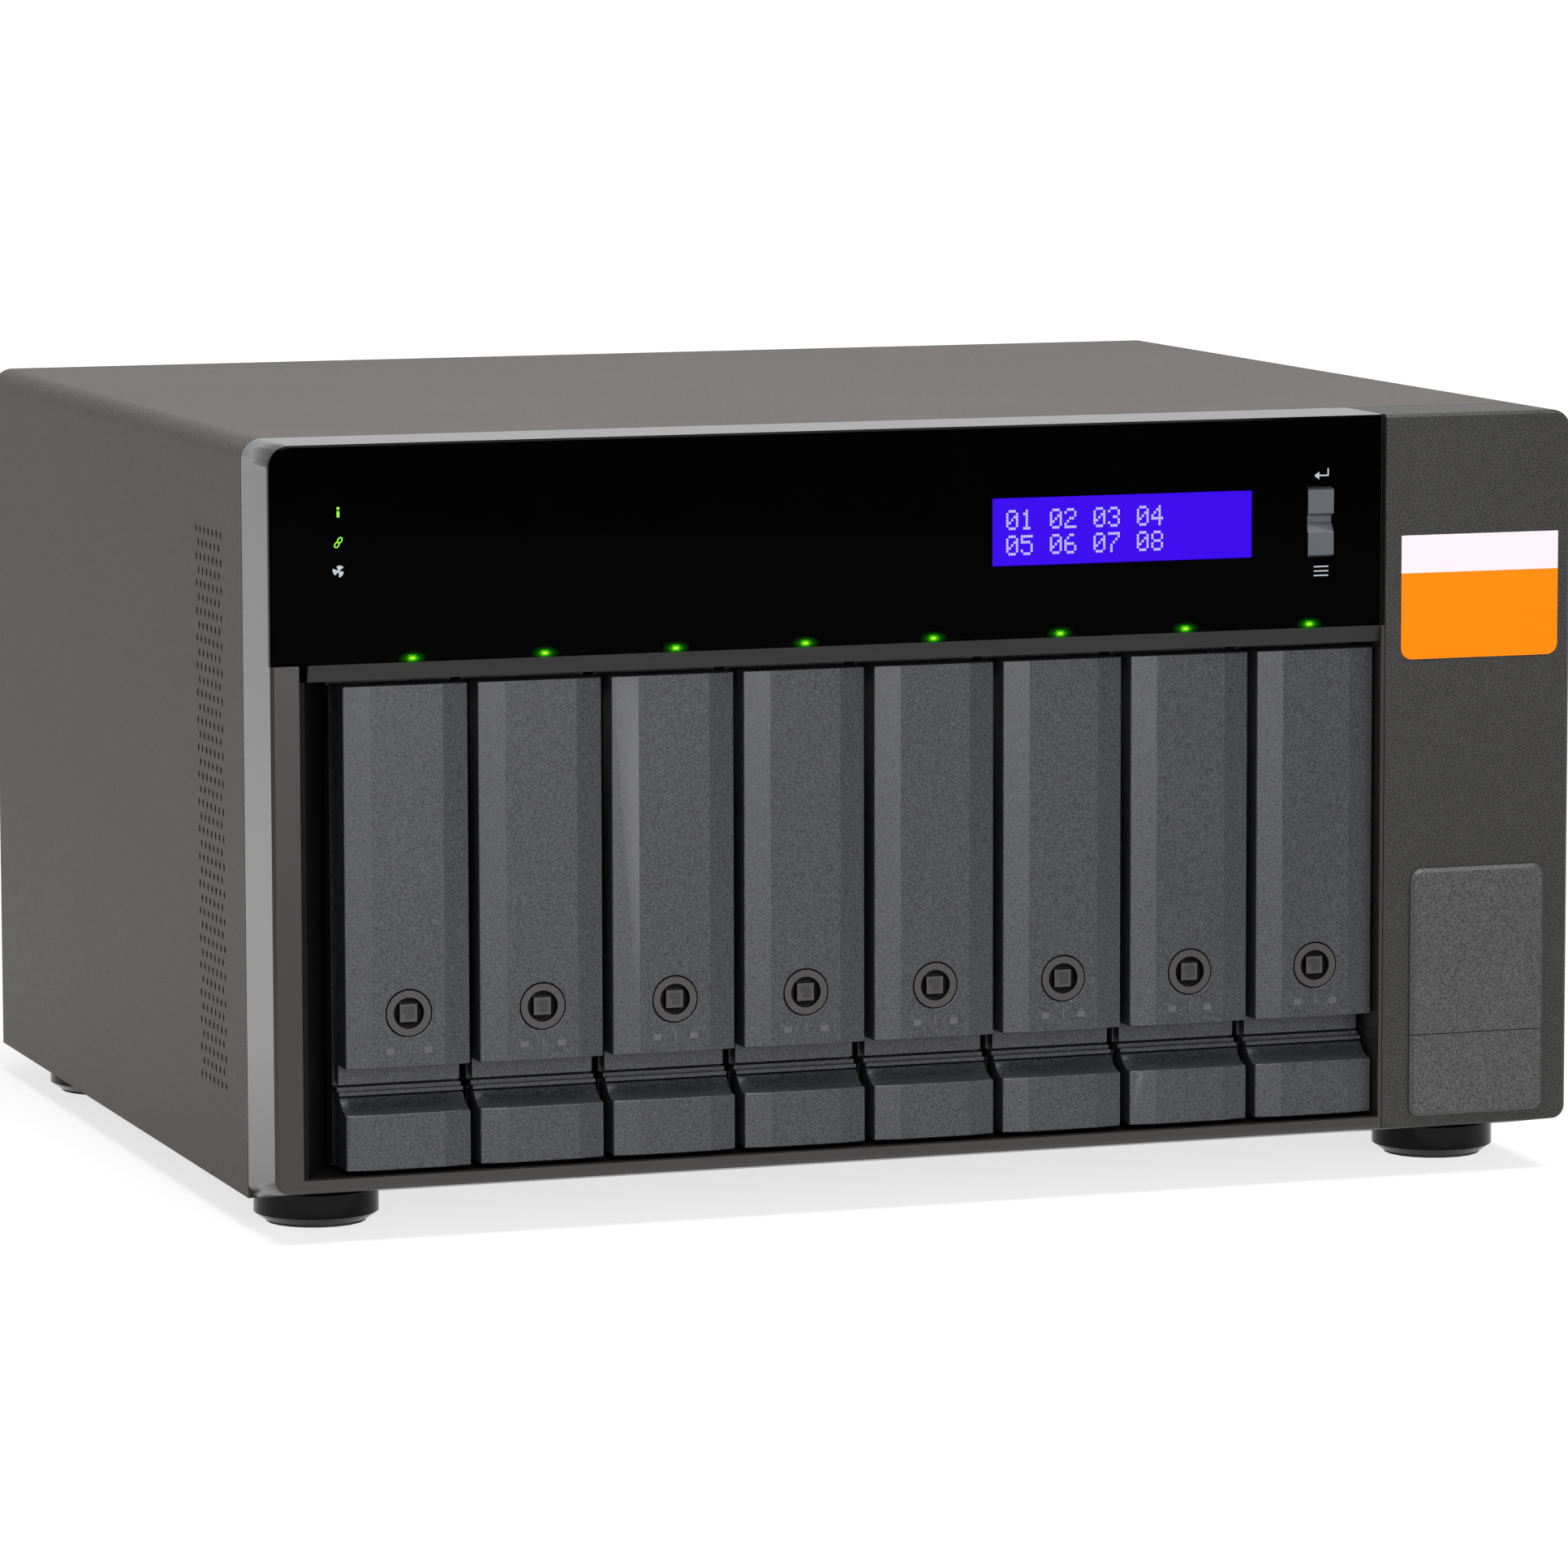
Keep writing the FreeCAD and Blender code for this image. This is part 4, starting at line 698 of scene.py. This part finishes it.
def well_floor(shape, x, z, y, steps=32):
    """Band from the square post out to the round wall, a black sheet of painted shade."""
    turns = [2 * math.pi * step / steps for step in range(steps + 1)]
    for first, second in zip(turns, turns[1:]):
        quad = []
        for turn, reach in ((first, WELL_R), (second, WELL_R), (second, None), (first, None)):
            c, s = math.cos(turn), math.sin(turn)
            reach = reach or (POST_HALF + SKIN) / max(abs(c), abs(s))
            quad.append((x + reach * c, z + reach * s))
        shape.flat(quad, y)


def key_details():
    """Keyway and well floor of each lock, dark sheets of painted shade; both turn with it."""
    for index, x in enumerate(tray_centres(), start=1):
        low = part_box("tray_lock_%d" % index)[0]
        z = low.z + LOCK_DROP
        keyway, floor = Shape(), Shape()
        keyway.flat(keyway_outline(x, z), low.y + POST_SET - SKIN)
        well_floor(floor, x, z, low.y + WELL_D - SKIN)
        body = "lock_%d" % index
        # painted shade: a flat near-black keyway and a black well floor stand in for the shadow in the
        # lock's hollows
        make_object("keyway_%d" % index, keyway.verts, keyway.faces, MATERIALS["keyway_dark"], body)
        make_object("well_shade_sheet_%d" % index, floor.verts, floor.faces, MATERIALS["cage_black"], body)


# ---- screws on the rear panel
SCREW_R = 3.0 * MM
SCREW_H = 2.0 * MM
FAN_SCREW = 52.5 * MM                # fan screws beside and above the fan's middle
TOP_SCREW_X, TOP_SCREW_Z = 12 * MM, 10 * MM   # outer top screws in from the panel's edges
RECESS_HALF_L, RECESS_HALF_W = 1.4 * MM, 0.3 * MM
RECESS_TURN = 20                     # degrees


def screw_head(shape, x, y, z):
    """Pan head with a cross recess, standing out to the rear."""
    rings = ((SCREW_R, 0.0), (SCREW_R, 0.5), (0.8 * SCREW_R, 0.85), (0.45 * SCREW_R, 1.0))
    loops = []
    for radius, out in rings:
        outline = circle((x, z), radius, 16)
        loops.append(shape.loop([Vector((a, y + out * SCREW_H, b)) for a, b in outline]))
    for low, high in zip(loops, loops[1:]):
        shape.sides(high, low)
    shape.faces.append(loops[0])
    shape.faces.append(loops[-1][::-1])


# painted shade: the cross recess is a flat black sheet on the head, standing in for the recess's shadow
def cross_recess(shape, x, y, z):
    for turn in (0, 90):
        slot = rectangle(x - RECESS_HALF_L, x + RECESS_HALF_L, z - RECESS_HALF_W, z + RECESS_HALF_W)
        outline = turned(slot, (x, z), turn + RECESS_TURN)
        shape.faces.append(shape.loop([Vector((a, y, b)) for a, b in reversed(outline)]))


def rear_screws():
    """Three screws along the top of the rear panel and four round each fan."""
    low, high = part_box("rear_panel")
    y = high.y
    fans = []
    for index in (1, 2):
        fan_low, fan_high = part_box("fan_frame_%d" % index)
        fans.append(((fan_low.x + fan_high.x) / 2, (fan_low.z + fan_high.z) / 2))
    middle = (fans[0][0] + fans[1][0]) / 2
    places = [(x, high.z - TOP_SCREW_Z) for x in (low.x + TOP_SCREW_X, middle, high.x - TOP_SCREW_X)]
    for x, z in fans:
        places += [(x + i * FAN_SCREW, z + j * FAN_SCREW) for i in (-1, 1) for j in (-1, 1)]
    heads, recesses = Shape(), Shape()
    for x, z in places:
        screw_head(heads, x, y, z)
        cross_recess(recesses, x, y + SCREW_H + SKIN, z)
    make_object("rear_screws", heads.verts, heads.faces, MATERIALS["screw_black"], "chassis")
    # painted shade: black crosses on the screw heads
    make_object("screw_recess_shade", recesses.verts, recesses.faces, MATERIALS["cage_black"], "chassis")


# ---- stage, lights, camera
FLOOR_SIZE = 30.0
FLOOR_GREY = 0.42                    # what lamps light on the floor
AMBIENT = 0.20                       # level of the light from all round
ROOM_FRONT = 0.15                    # what a mirror sees of the room in front
FLOOR_NEAR = 0.74                    # floor's own whiteness beside the object
FLOOR_FADE = (0.35, 2.5)             # distances between which the floor turns white
FLOOR_ROOM = (-0.5, 0.2)             # Y places between which mirrors see the floor turn white
WORLD_ROOM = (-0.25, 0.4)            # the same for directions into the world
CAMERA_PLACE = Vector((-0.6303, -1.8668, 0.3292))
CAMERA_TURN = 18.881                 # degrees to the right of straight ahead
CAMERA_TILT = -7.012
CAMERA_ROLL = 0.135
CAMERA_LENS = 178.14                 # millimetres, on a sensor 36 mm wide
LAMPS = {                            # place, target, size, power in watts
    "key_front": ((-0.03, -1.9, 0.45), (-0.03, -0.1, 0.45), (0.45, 0.75), 16),
    "fill_front": ((0.57, -1.9, 0.45), (0.3, -0.1, 0.45), (0.6, 0.75), 2.6),
    "key_left": ((-0.9, -1.0, 0.4), (-0.15, -0.1, 0.1), (0.5, 0.7), 1.4),
    "top_soft": ((0.05, -0.45, 1.6), (0.0, 0, 0.15), (1.3, 0.9), 30),
}


def remap_node(nodes, links, source, from_pair, to_pair):
    """Linear change of range, held at its ends."""
    node = nodes.new("ShaderNodeMapRange")
    for key, value in (("From Min", from_pair[0]), ("From Max", from_pair[1]),
                       ("To Min", to_pair[0]), ("To Max", to_pair[1])):
        node.inputs[key].default_value = value
    links.new(source, node.inputs["Value"])
    return node.outputs["Result"]


def combine(nodes, links, operation, first, second):
    """Math node on two sockets or numbers."""
    node = nodes.new("ShaderNodeMath")
    node.operation = operation
    for socket, value in zip(node.inputs, (first, second)):
        if isinstance(value, float):
            socket.default_value = value
        else:
            links.new(value, socket)
    return node.outputs["Value"]


def backdrop_level(nodes, links, seen_by_eye, seen_by_mirror):
    """Strength that camera rays see in full, and glossy and transmitted rays by the room's gradient."""
    path = nodes.new("ShaderNodeLightPath")
    glossy_ray, clear_ray = path.outputs["Is Glossy Ray"], path.outputs["Is Transmission Ray"]
    mirror = combine(nodes, links, "MAXIMUM", glossy_ray, clear_ray)
    mirror = combine(nodes, links, "MULTIPLY", mirror, seen_by_mirror)
    eye = combine(nodes, links, "MULTIPLY", path.outputs["Is Camera Ray"], seen_by_eye)
    return combine(nodes, links, "MAXIMUM", mirror, eye)


def make_floor():
    """Pale floor: it keeps the shadow near the object and turns white farther out."""
    half = FLOOR_SIZE / 2
    corners = [(-half, -half, 0), (half, -half, 0), (half, half, 0), (-half, half, 0)]
    material = bpy.data.materials.new("floor_white")
    material.use_nodes = True
    nodes, links = material.node_tree.nodes, material.node_tree.links
    shader = nodes["Principled BSDF"]
    shader.inputs["Base Color"].default_value = (FLOOR_GREY, FLOOR_GREY, FLOOR_GREY, 1)
    shader.inputs["Roughness"].default_value = 0.9
    shader.inputs["Specular IOR Level"].default_value = 0.0
    shader.inputs["Emission Color"].default_value = (1, 1, 1, 1)
    place = nodes.new("ShaderNodeTexCoord").outputs["Object"]
    far = nodes.new("ShaderNodeVectorMath")
    far.operation = "LENGTH"
    links.new(place, far.inputs[0])
    split = nodes.new("ShaderNodeSeparateXYZ")
    links.new(place, split.inputs["Vector"])
    white = remap_node(nodes, links, far.outputs["Value"], FLOOR_FADE, (FLOOR_NEAR, 1.0))
    room = remap_node(nodes, links, split.outputs["Y"], FLOOR_ROOM, (ROOM_FRONT, 1.0))
    level = backdrop_level(nodes, links, white, room)
    links.new(level, shader.inputs["Emission Strength"])
    floor = make_object("floor", [Vector(c) for c in corners], [[0, 1, 2, 3]], material, None)


def make_world():
    """White to the eye; mirrors see it white behind the object and dimmer on the camera's side."""
    world = bpy.data.worlds.new("studio")
    bpy.context.scene.world = world
    world.use_nodes = True
    nodes, links = world.node_tree.nodes, world.node_tree.links
    place = nodes.new("ShaderNodeTexCoord").outputs["Generated"]
    split = nodes.new("ShaderNodeSeparateXYZ")
    links.new(place, split.inputs["Vector"])
    room = remap_node(nodes, links, split.outputs["Y"], WORLD_ROOM, (ROOM_FRONT, 1.0))
    level = combine(nodes, links, "MAXIMUM", backdrop_level(nodes, links, 1.0, room), AMBIENT)
    background = nodes["Background"]
    background.inputs["Color"].default_value = (1.0, 1.0, 1.0, 1)
    links.new(level, background.inputs["Strength"])


def softbox(name, place, target, size, power):
    """Rectangular lamp aimed at a target."""
    light = bpy.data.lights.new(name, "AREA")
    light.shape = "RECTANGLE"
    light.size, light.size_y = size
    light.energy = power
    holder = bpy.data.objects.new(name, light)
    holder.location = place
    holder.rotation_mode = "QUATERNION"
    holder.rotation_quaternion = (Vector(target) - Vector(place)).to_track_quat("-Z", "Y")
    bpy.context.scene.collection.objects.link(holder)


def make_lights():
    for name, (place, target, size, power) in LAMPS.items():
        softbox(name, place, target, size, power)


def make_camera():
    data = bpy.data.cameras.new("camera")
    data.sensor_width = 36.0
    data.lens = CAMERA_LENS
    data.clip_start = 0.05
    data.clip_end = 60.0
    camera = bpy.data.objects.new("camera", data)
    camera.location = CAMERA_PLACE
    turn = Matrix.Rotation(math.radians(-CAMERA_TURN), 3, "Z")
    tilt = Matrix.Rotation(math.radians(90 + CAMERA_TILT), 3, "X")
    roll = Matrix.Rotation(math.radians(-CAMERA_ROLL), 3, "Z")
    camera.rotation_mode = "QUATERNION"
    camera.rotation_quaternion = (turn @ tilt @ roll).to_quaternion()
    bpy.context.scene.collection.objects.link(camera)
    bpy.context.scene.camera = camera


dress_nodes()
soften_nodes()
cut_vents()
led_glows()
status_marks()
key_marks()
lcd_digits()
lock_marks()
key_details()
rear_screws()
make_floor()
make_world()
make_lights()
make_camera()
bpy.context.scene.view_settings.view_transform = "Standard"
